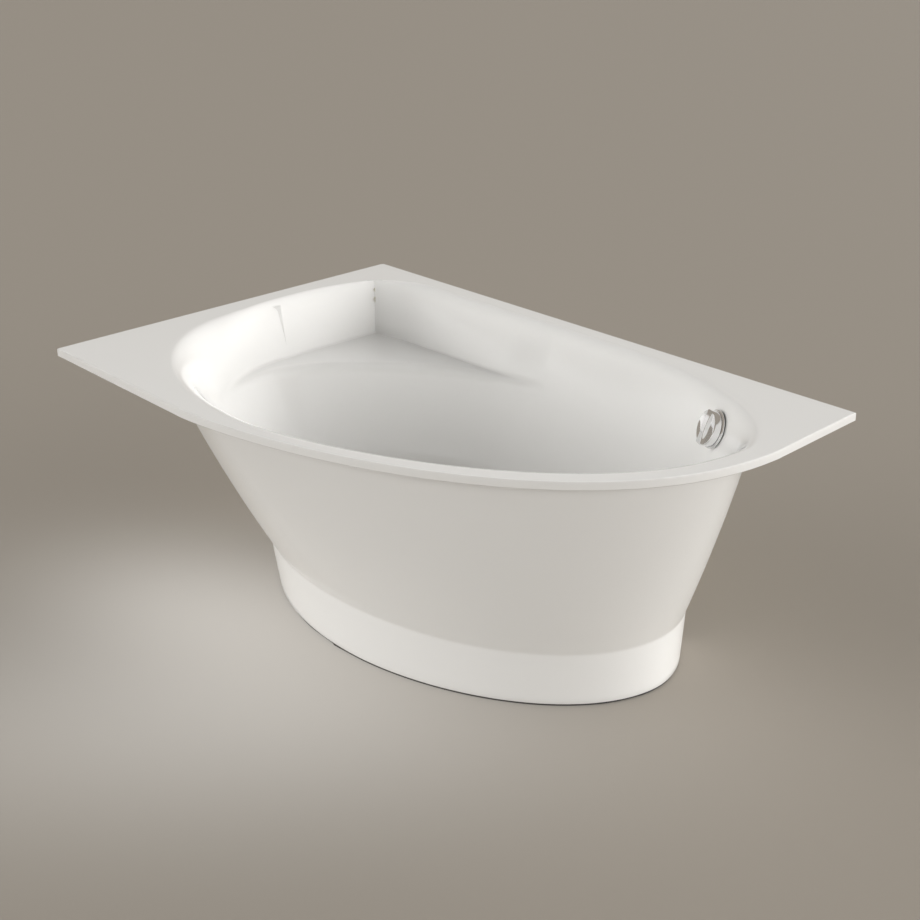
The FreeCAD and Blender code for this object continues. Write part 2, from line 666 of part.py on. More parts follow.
for x in LONG_BRACKETS:
    brackets.append(wall_bracket(x, True))
for y in SHORT_BRACKETS:
    brackets.append(wall_bracket(y, False))
screws += [(POST_X, -BATTEN_MIDDLE), (BATTEN_MIDDLE, POST_Y)]
shanks = [rod(BATTEN_SCREW, flange_low - 1, bite_top, x, y) for x, y in screws]
heads = [rod(BATTEN_SCREW_HEAD, flange_low - 2, flange_low, x, y) for x, y in screws]
pieces["bracket_screws"] = group([shank.fuse(head) for shank, head in zip(shanks, heads)])
pieces["wall_brackets"] = group([bracket.cut(shanks) for bracket in brackets])
pieces["corner_plate"] = pieces["corner_plate"].cut(shanks)
long_batten = block(BATTEN_NEAR, LONG_BATTEN_END, -BATTEN_FAR, -BATTEN_NEAR,
                    BATTEN_Z, DECK_Z)
short_batten = block(BATTEN_NEAR, BATTEN_FAR, SHORT_BATTEN_END, -BATTEN_FAR,
                     BATTEN_Z, DECK_Z)
pieces["long_wall_batten"] = long_batten.cut(shanks)
pieces["short_wall_batten"] = short_batten.cut(shanks)

# ================================================================ panel
def panel_oval(depth):
    """The panel's outline at a depth: rim oval to waist with a slight bulge, then the
    plinth down to the floor."""
    waist = HEIGHT - WAIST_HEIGHT
    if depth > waist:
        return mixed(PANEL_WAIST, PANEL_FOOT, (depth - waist) / WAIST_HEIGHT)
    share = max(depth - PANEL_TOP_DEPTH, 0) / (waist - PANEL_TOP_DEPTH)
    share -= PANEL_BULGE * share * (1 - share)
    return mixed(PANEL_RIM, PANEL_WAIST, share)


def panel_body(grow):
    waist = HEIGHT - WAIST_HEIGHT
    steps = 8
    depths = [SHEET]
    depths += [PANEL_TOP_DEPTH + (waist - PANEL_TOP_DEPTH) * i / steps
               for i in range(steps + 1)]
    depths.append(HEIGHT - SEAL_HEIGHT)
    return stack([oval_wire(panel_oval(depth), grow, HEIGHT - depth)
                  for depth in depths])


def open_back(shape):
    """Cut away what would stand behind the panel's two ends."""
    away = [block(-50, PANEL_SPLIT_X, PANEL_END_LEFT, 50, -1, HEIGHT),
            block(PANEL_SPLIT_X - 1, LENGTH + 50, PANEL_END_RIGHT, 50, -1, HEIGHT)]
    return shape.cut(away)


panel_inside = panel_body(-PANEL)
panel = open_back(panel_body(0).cut(panel_inside))
panel = panel.cut(hollow_body(SHEET + LAMINATE + PANEL_CLEAR))
pieces["apron_panel"] = panel.cut(block(-50, LENGTH + 50, -WIDTH - 50, 50,
                                        PANEL_HEIGHT, HEIGHT))
seal_low = oval_wire(panel_oval(HEIGHT), -SEAL_INSET, 0)
seal_in = oval_wire(panel_oval(HEIGHT), -SEAL_INSET - SEAL_WIDTH, 0)
seal = Part.Face(seal_low).extrude(V(0, 0, SEAL_HEIGHT)).cut(
    Part.Face(seal_in).extrude(V(0, 0, SEAL_HEIGHT)))
pieces["floor_seal"] = open_back(seal)
clips = []
for x in CLIP_X:
    slot = block(x - CLIP_LENGTH / 2, x + CLIP_LENGTH / 2, -WIDTH, -WIDTH / 2,
                 CLIP_TOP - CLIP_HEIGHT, CLIP_TOP).common(panel_inside)
    clips.append(slot.cut(backed))
pieces["panel_clips"] = group(clips)

# ================================================================ overflow
wall = [tub_solid, backed]
middle_of_wall = -(SHEET + LAMINATE) / 2
pieces["rosette_gasket"] = at_overflow(
    ring(ROSETTE - 3, GASKET_IN, middle_of_wall, ROSETTE_SEAT)).cut(shell)
pieces["overflow_gasket"] = at_overflow(
    ring(CHAMBER_FLANGE, GASKET_IN, CHAMBER_FRONT, middle_of_wall)).cut(wall)
rosette_top = ROSETTE_SEAT + ROSETTE_THICK
screw_spots = [(side * ROSETTE_SCREW_RADIUS, 0) for side in (-1, 1)]
rosette = ring(ROSETTE, AXLE + AXLE_FIT, ROSETTE_SEAT, rosette_top)
for x, y in screw_spots:
    rosette = rosette.cut([rod(ROSETTE_SCREW, ROSETTE_SEAT - 1, rosette_top + 1, x, y),
                           rod(ROSETTE_SCREW_HEAD, rosette_top - 2, rosette_top + 1, x, y),
                           rod(INLET, ROSETTE_SEAT - 1, rosette_top + 1, y, x)])
pieces["overflow_rosette"] = at_overflow(rosette)
pillar_front = ROSETTE_SEAT - PILLAR_GAP
pieces["rosette_screws"] = group([at_overflow(
    rod(ROSETTE_SCREW, CHAMBER_FRONT - 10, rosette_top - 2, x, y).fuse(
        rod(ROSETTE_SCREW_HEAD, rosette_top - 2, rosette_top, x, y)))
    for x, y in screw_spots])
chamber = ring(CHAMBER, GASKET_IN, CHAMBER_BACK, CHAMBER_FRONT)
chamber = chamber.fuse([rod(CHAMBER, CHAMBER_BACK, CHAMBER_BACK + CHAMBER_WALL),
                        ring(CHAMBER_FLANGE, GASKET_IN, CHAMBER_FRONT - CHAMBER_WALL,
                             CHAMBER_FRONT)])
chamber = chamber.fuse([rod(PILLAR, CHAMBER_BACK, pillar_front, x, y)
                        for x, y in screw_spots])
spigot_z = (CHAMBER_BACK + CHAMBER_FRONT) / 2
spigot = HOSE - HOSE_WALL
down = V(0, -1, 0)
spigot_start = V(0, -CHAMBER + 4, spigot_z)
chamber = chamber.fuse(rod_along(spigot, spigot_start, down, SPIGOT_LENGTH - CHAMBER + 4))
chamber = chamber.cut(rod_along(spigot - SPIGOT_WALL, V(0, -CHAMBER + 8, spigot_z), down,
                                SPIGOT_LENGTH))
chamber = chamber.fuse(rod_along(CABLE_BOSS, V(-CABLE_SIDE, -CHAMBER + 6.5, spigot_z),
                                 down, 8))
chamber = chamber.cut([rod(ROSETTE_SCREW, CHAMBER_FRONT - 10, 10, x, y)
                       for x, y in screw_spots])
chamber = chamber.cut(rod_along(CABLE, V(-CABLE_SIDE, -CHAMBER + 4, spigot_z), down, 10))
pieces["overflow_chamber"] = at_overflow(chamber)

knob_back = rosette_top + KNOB_GAP
knob_top = knob_back + KNOB_DEPTH
knob = rod(KNOB, knob_back, knob_top).cut(
    rod(KNOB_HOLLOW, knob_back - 1, knob_top - KNOB_FACE))
knob = knob.fuse(rod(KNOB_HUB, knob_back, knob_top - KNOB_FACE))
grip = block(-GRIP_WIDTH / 2, GRIP_WIDTH / 2, -KNOB, KNOB, knob_top, knob_top + GRIP_HEIGHT)
knob = knob.fuse(grip.common(rod(KNOB - 1, knob_top, knob_top + GRIP_HEIGHT)))
axle_top = knob_top - KNOB_FACE
pieces["overflow_knob"] = at_overflow(knob.cut(rod(AXLE, knob_back - 1, axle_top)))
crank_back = CRANK_FRONT - CRANK_THICK
axle = rod(AXLE, crank_back, axle_top)
pieces["knob_axle"] = at_overflow(axle)
crank = rod(AXLE + 3, crank_back, CRANK_FRONT).fuse(
    [rod(CRANK_TIP, crank_back, CRANK_FRONT, 0, -CRANK_REACH),
     block(-CRANK_TIP, CRANK_TIP, -CRANK_REACH, 0, crank_back, CRANK_FRONT)])
crank = crank.cut([axle, rod(CRANK_BORE, crank_back - 1, CRANK_FRONT + 1,
                            0, -CRANK_REACH)])
pieces["knob_crank"] = at_overflow(crank)

# ================================================================ waste
floor_z = HEIGHT - BOWL_DEPTH
flange_z = floor_z + GASKET
tube_foot = floor_z - FLANGE_LENGTH + FLANGE_THICK


def at_waste(radius, low, high):
    return rod(radius, low, high, WASTE_X, WASTE_Y)


def ring_at_waste(outer, inner, low, high):
    return ring(outer, inner, low, high, WASTE_X, WASTE_Y)


def beside_waste(x0, x1, y0, y1, z0, z1):
    return block(WASTE_X + x0, WASTE_X + x1, WASTE_Y + y0, WASTE_Y + y1, z0, z1)


guide_top = floor_z - GUIDE_DROP
flange = ring_at_waste(FLANGE, FLANGE_BORE, flange_z, flange_z + FLANGE_THICK).fuse(
    ring_at_waste(FLANGE_TUBE, FLANGE_BORE, tube_foot, flange_z))
spoke_reach = FLANGE_BORE + 1
spokes = [beside_waste(-spoke_reach, spoke_reach, -SPOKE / 2, SPOKE / 2,
                       tube_foot, guide_top),
          beside_waste(-SPOKE / 2, SPOKE / 2, -spoke_reach, spoke_reach,
                       tube_foot, guide_top),
          at_waste(STEM + GUIDE_WALL, tube_foot, guide_top)]
flange = flange.fuse(spokes).cut(at_waste(STEM + STEM_FIT, tube_foot - 1, guide_top + 1))
pieces["waste_flange"] = flange
collar_top = UNDERSIDE - GASKET
pieces["waste_gaskets"] = group([
    ring_at_waste(FLANGE - 1, FLANGE_TUBE, floor_z, flange_z),
    ring_at_waste(COLLAR - 1, FLANGE_TUBE, collar_top, UNDERSIDE)])
body = ring_at_waste(CUP, FLANGE_TUBE, BOX_TOP - BOX_WALL, collar_top)
body = body.fuse(ring_at_waste(COLLAR, FLANGE_TUBE, collar_top - COLLAR_THICK, collar_top))
box_in_x = BOX_X - BOX_WALL
box_in_y = BOX_Y - BOX_WALL
box = beside_waste(-BOX_X, BOX_X, -BOX_Y, BOX_Y, BOX_BOTTOM, BOX_TOP)
box = box.fuse([rod_along(HOSE - HOSE_WALL, V(WASTE_X, WASTE_Y, BRANCH_Z), V(1, 0, 0),
                          BOX_X + BRANCH_LENGTH),
                at_waste(TRAP_TUBE, TRAP_TUBE_FOOT, BOX_BOTTOM + 1)])
box = box.cut([beside_waste(-box_in_x, box_in_x, -box_in_y, box_in_y,
                            BOX_BOTTOM + BOX_WALL, BOX_TOP - BOX_WALL),
               at_waste(FLANGE_TUBE, BOX_TOP - BOX_WALL - 1, BOX_TOP + 1),
               at_waste(TRAP_TUBE - TRAP_WALL, TRAP_TUBE_FOOT - 1, BOX_BOTTOM + BOX_WALL + 1),
               rod_along(HOSE - HOSE_WALL - SPIGOT_WALL, V(WASTE_X, WASTE_Y, BRANCH_Z),
                         V(1, 0, 0), BOX_X + BRANCH_LENGTH + 1)])
arm_y = BOX_Y + LEVER_WIDTH / 2
cable_stop = [beside_waste(BOX_X - 2, BOX_X + 10, 10, BOX_Y - 1, STOP_LOW, BOX_TOP),
              beside_waste(BOX_X + 2, BOX_X + 10, 10, arm_y + 8, STOP_LOW, BOX_TOP)]
cable_end = V(WASTE_X + BOX_X + 3, WASTE_Y + arm_y, (STOP_LOW + BOX_TOP) / 2)
body = body.fuse([box] + cable_stop).cut(
    rod_along(CABLE, cable_end - V(2, 0, 0), V(1, 0, 0), 20))
pin_start = V(WASTE_X + LEVER_ARM, WASTE_Y - BOX_Y + 1, LEVER_Z)
shaft_reach = 2 * BOX_Y + LEVER_WIDTH + 1
pin_hole = rod_along(LEVER_PIN + LEVER_PIN_FIT, pin_start, V(0, 1, 0), shaft_reach)
pieces["waste_body"] = body.cut(pin_hole)

plug_low = flange_z + FLANGE_THICK + PLUG_GAP
plug = at_waste(PLUG, plug_low, plug_low + PLUG_HEIGHT)
rim_edge = [e for e in plug.Edges if e.BoundBox.ZMin > plug_low + 1 and e.Closed]
plug = plug.makeFillet(2, rim_edge[:1])
plug = plug.fuse(at_waste(PLUG_NECK, plug_low - PLUG_NECK_DEPTH, plug_low))
groove = ring_at_waste(SEAL_RING, PLUG_NECK - SEAL_GROOVE, plug_low - SEAL_LOW,
                       plug_low - SEAL_LOW + SEAL_THICK)
pieces["drain_plug"] = plug.cut([groove, at_waste(STEM, plug_low - 30, plug_low)])
pieces["plug_seal"] = groove
pieces["plug_stem"] = at_waste(STEM, STEM_FOOT, plug_low)

lever_low = V(WASTE_X, WASTE_Y - LEVER_WIDTH / 2, LEVER_Z)
lever = rod_along(LEVER_HALF, lever_low, V(0, 1, 0), LEVER_WIDTH).fuse(
    [rod_along(LEVER_HUB, lever_low + V(LEVER_ARM, 0, 0), V(0, 1, 0), LEVER_WIDTH),
     beside_waste(0, LEVER_ARM, -LEVER_WIDTH / 2, LEVER_WIDTH / 2,
                  LEVER_Z - LEVER_HALF, LEVER_Z + LEVER_HALF)])
shaft_front = V(WASTE_X + LEVER_ARM, WASTE_Y - LEVER_WIDTH, LEVER_Z)
shaft_length = BOX_Y + 2 * LEVER_WIDTH + 1
shaft = rod_along(LEVER_PIN, shaft_front, V(0, 1, 0), shaft_length)
pieces["lift_lever"] = lever.cut(shaft)
arm_low = BOX_Y + 1
arm = rod_along(LEVER_HUB, V(WASTE_X + LEVER_ARM, WASTE_Y + arm_low, LEVER_Z),
                V(0, 1, 0), LEVER_WIDTH - 2).fuse(
    beside_waste(LEVER_ARM - 4, LEVER_ARM + 4, arm_low, arm_low + LEVER_WIDTH - 2,
                 LEVER_Z, LEVER_Z + ARM_REACH))
pieces["lever_arm"] = arm.cut(shaft)
pieces["lever_shaft"] = shaft

# ================================================================ trap
can = at_waste(TRAP, TRAP_BOTTOM, TRAP_TOP).cut(
    at_waste(TRAP - TRAP_WALL, TRAP_BOTTOM + TRAP_WALL, TRAP_TOP - TRAP_WALL))
can = can.fuse([at_waste(TRAP_TUBE, DIP_FOOT, TRAP_TUBE_FOOT)])
socket_far = TRAP + SOCKET_LENGTH
toward = V(0, 1, 0)
outlet_start = V(WASTE_X, WASTE_Y + TRAP - TRAP_WALL - 1, OUTLET_Z)
can = can.fuse(rod_along(SOCKET, outlet_start, toward, SOCKET_LENGTH + TRAP_WALL + 1))
can = can.cut([at_waste(TRAP_TUBE - TRAP_WALL, DIP_FOOT - 1, TRAP_TUBE_FOOT + 1),
               rod_along(OUTLET_PIPE, V(WASTE_X, WASTE_Y + TRAP + 2, OUTLET_Z), toward,
                         SOCKET_LENGTH),
               rod_along(OUTLET_PIPE - TRAP_WALL, outlet_start - V(0, 6, 0), toward, 30)])
pieces["trap_body"] = can
pieces["trap_nut"] = ring_at_waste(TRAP_NUT, TRAP_TUBE, TRAP_TOP,
                                   TRAP_TOP + TRAP_NUT_HEIGHT)
pipe_start = V(WASTE_X, WASTE_Y + TRAP + 2, OUTLET_Z)
pipe_length = OUTLET_TO - pipe_start.y
pipe = rod_along(OUTLET_PIPE, pipe_start, toward, pipe_length).fuse(
    rod_along(OUTLET_END, V(WASTE_X, OUTLET_TO - OUTLET_END_LENGTH, OUTLET_Z), toward,
              OUTLET_END_LENGTH))
pieces["outlet_pipe"] = pipe.cut(
    rod_along(OUTLET_PIPE - TRAP_WALL, pipe_start - V(0, 1, 0), toward, pipe_length + 2))
nut_start = V(WASTE_X, WASTE_Y + socket_far, OUTLET_Z)
pieces["outlet_nut"] = rod_along(SOCKET + 4, nut_start, toward, TRAP_NUT_HEIGHT).cut(
    rod_along(OUTLET_PIPE, nut_start - V(0, 1, 0), toward, TRAP_NUT_HEIGHT + 2))

# ================================================================ hose and cable
place = overflow_frame()
hose_points = [place.multVec(V(0, -CHAMBER - 12, spigot_z)),
               place.multVec(V(0, -SPIGOT_LENGTH - SPIGOT_RUN, spigot_z)),
               V(*HOSE_WAY),
               V(*HOSE_TURN, BRANCH_Z),
               V(WASTE_X + HOSE_END_RUN, WASTE_Y, BRANCH_Z),
               V(WASTE_X + BOX_X + 2, WASTE_Y, BRANCH_Z)]
pieces["overflow_hose"] = bent_tube(hose_points, HOSE_BEND, HOSE).cut(
    bent_tube(hose_points, HOSE_BEND, HOSE - HOSE_WALL))
cable_points = [place.multVec(V(-CABLE_SIDE, -CHAMBER + 4, spigot_z)),
                place.multVec(V(-CABLE_SIDE, -SPIGOT_LENGTH - CABLE_RUN, spigot_z)),
                V(*CABLE_WAY),
                V(*CABLE_TURN, CABLE_Z),
                cable_end + V(CABLE_END_BEND, 0, CABLE_Z - cable_end.z),
                cable_end + V(CABLE_END_RUN, 0, 0),
                cable_end]
pieces["control_cable"] = bent_tube(cable_points, CABLE_BEND, CABLE)

# ================================================================ export
os.makedirs("parts", exist_ok=True)
move = V(-LENGTH / 2, WIDTH / 2, 0)
for name, shape in pieces.items():
    solids = shape.Solids
    placed = solids[0] if len(solids) == 1 else Part.makeCompound(solids)
    placed = placed.translated(move)
    placed.exportStep("parts/%s.step" % name)
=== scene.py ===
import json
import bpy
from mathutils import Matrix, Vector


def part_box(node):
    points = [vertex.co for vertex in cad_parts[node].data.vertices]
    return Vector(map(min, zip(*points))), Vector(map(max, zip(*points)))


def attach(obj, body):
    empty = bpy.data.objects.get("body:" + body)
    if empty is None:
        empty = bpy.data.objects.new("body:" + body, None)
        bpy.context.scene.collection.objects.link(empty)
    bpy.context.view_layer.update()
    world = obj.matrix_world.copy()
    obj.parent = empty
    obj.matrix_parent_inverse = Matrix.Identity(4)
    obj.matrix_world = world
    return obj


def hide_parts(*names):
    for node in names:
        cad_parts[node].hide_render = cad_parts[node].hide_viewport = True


bl_info = {
    "name": "Corner Bathtub",
    "version": (1, 0, 0),
    "blender": (4, 5, 0),
    "location": "3D View > Sidebar > Bathtub",
    "description": "Dresses the corner bathtub: shell, panel, chrome, frame, studio",
    "category": "Object",
}

from math import cos, pi, radians, sin, sqrt

import bpy
import numpy as np
from bpy.props import (FloatProperty, FloatVectorProperty, IntProperty, PointerProperty)
from bpy.types import Operator, Panel, PropertyGroup
from mathutils import Matrix, Vector

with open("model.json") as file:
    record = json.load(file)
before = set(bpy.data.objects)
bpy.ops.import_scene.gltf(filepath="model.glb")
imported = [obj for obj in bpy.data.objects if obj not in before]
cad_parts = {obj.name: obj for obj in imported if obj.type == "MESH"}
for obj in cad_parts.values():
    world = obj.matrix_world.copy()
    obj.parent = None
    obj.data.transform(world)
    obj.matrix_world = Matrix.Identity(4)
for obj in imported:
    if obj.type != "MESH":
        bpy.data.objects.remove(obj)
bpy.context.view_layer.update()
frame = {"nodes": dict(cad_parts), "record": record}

# The lengths below are millimetres, laid out as in the part: x along the long wall from
# the corner of the two walls, y negative into the room, z up from the floor. Depths are
# measured down from the rim. to_frame() turns them into the frame's metres.
LENGTH = 1600.0
WIDTH = 1070.0
HEIGHT = 600.0
LONG_WALL = 1579.0
SHORT_WALL = 1044.0
FRONT_PEAK_X = 542.0
END_PEAK_Y = -300.0
RIM_POWERS = (1.72, 2.24)
LIP = 20.0
LAMINATE = 4.0
LAMINATE_ROW = 8           # rows below the deck's edge where the laminate starts
SKIN_GAP = 0.05            # between the acrylic and the laminate
LAMINATE_DROP = 0.1        # of the laminate's top below the deck's underside
LIP_DRAW = 1.2             # the lip's lower edge is drawn in
DECK_STEP = 1.5

# An oval has four quarters with a power for each direction; these are plain ellipses.
ELLIPSE = dict(front_left=(2.0, 2.0), front_right=(2.0, 2.0), back_right=(2.0, 2.0),
               back_left=(2.0, 2.0))

# Bowl
BOWL_DEPTH = 430.0
FLOOR_ROUND = 80.0
BOWL_RIM = dict(left=68.0, right=1550.0, front=-1020.0, back=-43.0, x_front=690.0,
                x_back_left=700.0, x_back_right=950.0, y_left=-560.0, y_right=-350.0,
                front_left=(2.05, 2.05), front_right=(1.5, 2.1),
                back_right=(1.83, 1.83), back_left=(1.5, 1.5))
BOWL_FOOT = dict(ELLIPSE, left=232.0, right=1368.0, front=-775.0, back=-165.0,
                 x_front=800.0, x_back_left=700.0, x_back_right=860.0, y_left=-470.0,
                 y_right=-420.0, back_left=(1.8, 1.8))
SOFT_EDGE = dict(left=60.0, right=42.0, front=40.0, back=28.0)
SOFT_SHARE = 0.6

# Corner shelf
SHELF_DEPTH = 147.0
SHELF_ABOVE = 24.0
SHELF_BELOW = 30.0
CREASE = (105.0, -122.0)
SHELF_SIDE_X = 50.0
SHELF_SIDE_SOFT = 30.0
SHELF_SIDE_FOOT_X = 102.0
SHELF_WALL_Y = -45.0
SHELF_WALL_SOFT = 28.0
SHELF_WALL_FOOT_Y = -108.0
SHELF_WALL_END = 900.0     # where the long wall's recess ends, inside the bowl
SHELF_WALL_TURN = 720.0    # from here on it leans into the bowl by a slope
SHELF_WALL_SLOPE = 0.2
SHELF_SIDE_END = -790.0
SHELF_BEND = 140.0
SHELF_SIDE_BEND = 240.0
SHELF_SIDE_POWER = 2.2
SHELF_TURN_IN = 110.0      # the short wall's recess turns into the bowl as a power
SHELF_TURN_START = -390.0
SHELF_TURN_SPAN = 300.0
SHELF_TURN_POWER = 2.7
SHELF_FOOT_ROUND = 7.0
SHELF_EDGE_LOWER = 24.0    # how far the edge's bend reaches down at most
SHELF_FADE = 8.0
SHELF_FADE_WIDTH = 25.0

# Panel
PANEL_HEIGHT = 588.0
PANEL_TOP_DEPTH = 20.0
WAIST_HEIGHT = 120.0
PANEL_BULGE = 0.15
PANEL_RIM = dict(ELLIPSE, left=45.0, right=1569.0, front=-1050.0, back=-8.0,
                 x_front=640.0, x_back_left=890.0, x_back_right=900.0, y_left=-560.0,
                 y_right=-425.0, front_left=(1.59, 1.59), front_right=(1.56, 1.84),
                 back_right=(1.77, 1.77))
PANEL_WAIST = dict(ELLIPSE, left=189.0, right=1395.0, front=-811.0, back=-32.0,
                   x_front=790.0, x_back_left=780.0, x_back_right=790.0, y_left=-421.0,
                   y_right=-421.0, front_left=(2.0, 2.1))
PANEL_FOOT = dict(ELLIPSE, left=215.0, right=1405.0, front=-823.0, back=-45.0,
                  x_front=825.0, x_back_left=805.0, x_back_right=815.0, y_left=-430.0,
                  y_right=-430.0, front_left=(2.05, 1.75), front_right=(1.85, 2.0),
                  back_right=(1.8, 1.85))
PANEL_END_LEFT = -420.0
PANEL_END_RIGHT = -215.0
PANEL_CLEAR = 1.5
PANEL_EDGE = 0.8           # the sheet's top and bottom edges are drawn together
PANEL_TOP_ROWS = 12        # rows kept apart where the panel's top edge drops
PANEL_ROW_GAP = 0.3
PANEL_SEARCH = 60.0        # depth from where the bowl's back is compared upward
# the near-black strip below the panel is partly a real seal and partly painted shade of
# the gap at the floor
SEAL_HEIGHT = 4.5

# Fittings
WASTE = (1010.0, -455.0)
WASTE_HOLE = 25.5
OVERFLOW_X = 1325.0
OVERFLOW_DEPTH = 68.0
OVERFLOW_HOLE = 27.0
OVERFLOW_CUT = (-30.0, 20.0)
ROSETTE_SEAT = 3.6
ROSETTE_TOP = 8.6
KNOB_BACK = 9.0
KNOB_TOP = 27.0
KNOB_FLOOR = 22.0
KNOB_HUB = 9.0
KNOB_LIP = 2.2
KNOB_INSIDE = 37.0
GRIP_HALF = 0.17           # shares of the knob's radius
GRIP_FLARE = 0.10
GRIP_SLOPE = 0.16
GRIP_FALL = 0.35
AXLE = 5.0
AXLE_GAP = 0.06
CHAMBER = 32.0
SPIGOT_Z = -34.5
SPIGOT_LENGTH = 72.0
SPIGOT_RUN = 30.0
HOSE_RADIUS = 16.0
HOSE_BEND = 50.0
HOSE_WAY = [(1225.0, -192.0, 250.0), (1205.0, -215.0, 94.0), (1165.0, -455.0, 94.0),
            (1042.0, -455.0, 94.0)]
ROD_RADIUS = 5.0
ROD_FOOT = 5.0
ROD_TOP = 153.0
KEY_LOW = 14.0
PAD_HEIGHT = 12.0
PAD_NECK = 9.0
PAD_HOLLOW = 0.6
KEY_HEIGHT = 6.0
KEY_HALF = 8.5             # half the spanner's width
KEY_EDGE = 0.8
PLUG_RADIUS = 29.0
PLUG_CROWN = 5.0
PLUG_NECK = 19.0
PLUG_NECK_DROP = 12.0
PLUG_GROOVE = 17.5
PLUG_GROOVE_DROPS = (9.0, 6.0)
PLUG_BORE = 4.0
SMALL = 0.6                # small edge roundings of the fittings
AXIS = 0.8                 # least radius of a turned profile

# Studio. A sky light points to the camera's left, toward the camera and up, and has a
# power and a strength. A painted floor glow, a pool of light painted into the floor's own
# emission, has its centre and size in metres, its turn from the camera's, and its
# strength.
SKY_EVEN = 0.12
SKY_LIGHTS = (((1.0, 0.0, 0.0), 8.0, 6.7), ((-0.7, 0.7, 0.1), 8.0, 3.7),
              ((-1.0, 0.0, 0.0), 8.0, 4.0), ((-0.7, -0.7, 0.5), 6.0, 2.9))
PAINTED_FLOOR_GLOW = (((-0.47, -0.33), (0.42, 0.30), -0.55, 0.14),
                ((-0.25, -0.42), (0.62, 0.42), -0.5, 0.18),
                ((0.05, -0.75), (0.90, 0.45), 0.0, 0.20))


# ------------------------------------------------------------------ plain helpers
def to_frame(points):
    """Millimetres in the corner layout to metres in the frame."""
    points = np.asarray(points, float)
    return (points + np.array([-LENGTH / 2, WIDTH / 2, 0.0])) / 1000.0


def make_mesh(name, points, faces, body, slot, stands_for=(), smooth=35.0):
    """A mesh piece from points in metres, riding on a body, in its slot's finish."""
    mesh = bpy.data.meshes.new(name)
    mesh.from_pydata(points.tolist(), [], faces)
    mesh.materials.append(finish(slot))
    mesh.shade_smooth()
    mesh.set_sharp_from_angle(angle=radians(smooth))
    piece = bpy.data.objects.new(name, mesh)
    bpy.context.scene.collection.objects.link(piece)
    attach(piece, body)
    if stands_for:
        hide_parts(*stands_for)
    return piece


def grid_faces(rows, columns, wrap_rows=False, wrap_columns=True, flip=False):
    """Quads of a grid stored row by row: each point with its neighbour along the row
    and the two below them, as whole index arrays."""
    i = np.arange(rows if wrap_rows else rows - 1)[:, None]
    j = np.arange(columns if wrap_columns else columns - 1)[None, :]
    beside = (j + 1) % columns
    below = (i + 1) % rows
    quads = np.stack([i * columns + j, i * columns + beside,
                      below * columns + beside, below * columns + j], axis=-1)
    quads = quads.reshape(-1, 4)
    return (quads[:, ::-1] if flip else quads).tolist()


def blended(a, b, share):
    """Part of the way from one oval to another."""
    mix = {}
    for key, low in a.items():
        high = b[key]
        if isinstance(low, tuple):
            mix[key] = tuple(p + (q - p) * share for p, q in zip(low, high))
        else:
            mix[key] = low + (high - low) * share
    return mix


def oval(o, grow=0.0, count=90):
    """Points round an oval of four quarters, each |x/a|^p + |y/b|^q = 1 about its own
    centre, with a straight back between two of them: from the right end over the back,
    the left and the front. grow moves it outward."""
    t = np.linspace(0.0, pi / 2, count)
    right = o["right"] + grow
    left = o["left"] - grow
    front = o["front"] - grow
    back = o["back"] + grow

    def quarter(cx, cy, x, y, powers, angle):
        across = np.clip(np.cos(angle), 0.0, 1.0) ** (2 / powers[0])
        along = np.clip(np.sin(angle), 0.0, 1.0) ** (2 / powers[1])
        return np.column_stack([cx + (x - cx) * across, cy + (y - cy) * along])

    turned = pi / 2 - t
    return np.vstack([
        quarter(o["x_back_right"], o["y_right"], right, back, o["back_right"], t),
        quarter(o["x_back_left"], o["y_left"], left, back, o["back_left"], turned),
        quarter(o["x_front"], o["y_left"], left, front, o["front_left"], t)[1:],
        quarter(o["x_front"], o["y_right"], right, front, o["front_right"],
                turned)[:-1]])


def polar(points):
    """Directions of points from the waste, from 0 to a full turn."""
    offset = points[:, :2] - np.array(WASTE)
    return np.arctan2(offset[:, 1], offset[:, 0]) % (2 * pi)


def reach(outline, angles, closed=True):
    """How far an outline is from the waste in each direction. Between two of its points
    an outline is straight, so one over the distance is a sine there. An open outline
    reaches nowhere beyond its ends."""
    turn = polar(outline)
    order = np.argsort(turn)
    turn = turn[order]
    far = np.hypot(*(outline - np.array(WASTE)).T)[order]
    if closed:
        turn = np.concatenate([turn[-1:] - 2 * pi, turn, turn[:1] + 2 * pi])
        far = np.concatenate([far[-1:], far, far[:1]])
    after = np.clip(np.searchsorted(turn, angles, side="right"), 1, len(turn) - 1)
    before = after - 1
    gap = np.maximum(turn[after] - turn[before], 1e-9)
    result = far[before] * far[after] * np.sin(gap) / (
        far[before] * np.sin(angles - turn[before])
        + far[after] * np.sin(turn[after] - angles))
    if not closed:
        result = np.where((angles < turn[0]) | (angles > turn[-1]), 0.0, result)
    return result


def larger(a, b, soft):
    """The larger of two lengths, rounded by a parabola where they are nearly equal."""
    near = np.clip(soft - np.abs(a - b), 0.0, None) / soft
    return np.maximum(a, b) + near * near * soft / 4


def revolve(profile, segments, wrap=True):
    """A profile of (radius, height) turned about the z axis: x and y are the radius
    times the cosine and the sine of the turn."""
    profile = np.asarray(profile, float)
    turn = np.linspace(0, 2 * pi, segments, endpoint=False)
    points = np.stack([profile[:, :1] * np.cos(turn), profile[:, :1] * np.sin(turn),
                       profile[:, 1:] + 0 * turn], axis=-1)
    faces = grid_faces(len(profile), segments, wrap_rows=wrap, flip=True)
    return points.reshape(-1, 3), faces


def round_corner(start, corner, end, steps=6):
    """A soft bend from start over corner to end: the quadratic curve with the corner as
    its middle control point."""
    share = np.linspace(0, 1, steps)[:, None]
    bend = ((1 - share) ** 2 * np.array(start) + 2 * share * (1 - share)
            * np.array(corner) + share ** 2 * np.array(end))
    return [tuple(point) for point in bend]


# ------------------------------------------------------------------ bowl shapes
def soften(radius, depth):
    """How far a soft edge draws in by a depth: a share of a quarter circle."""
    left = max(radius - depth, 0.0)
    return SOFT_SHARE * sqrt(radius * radius - left * left)


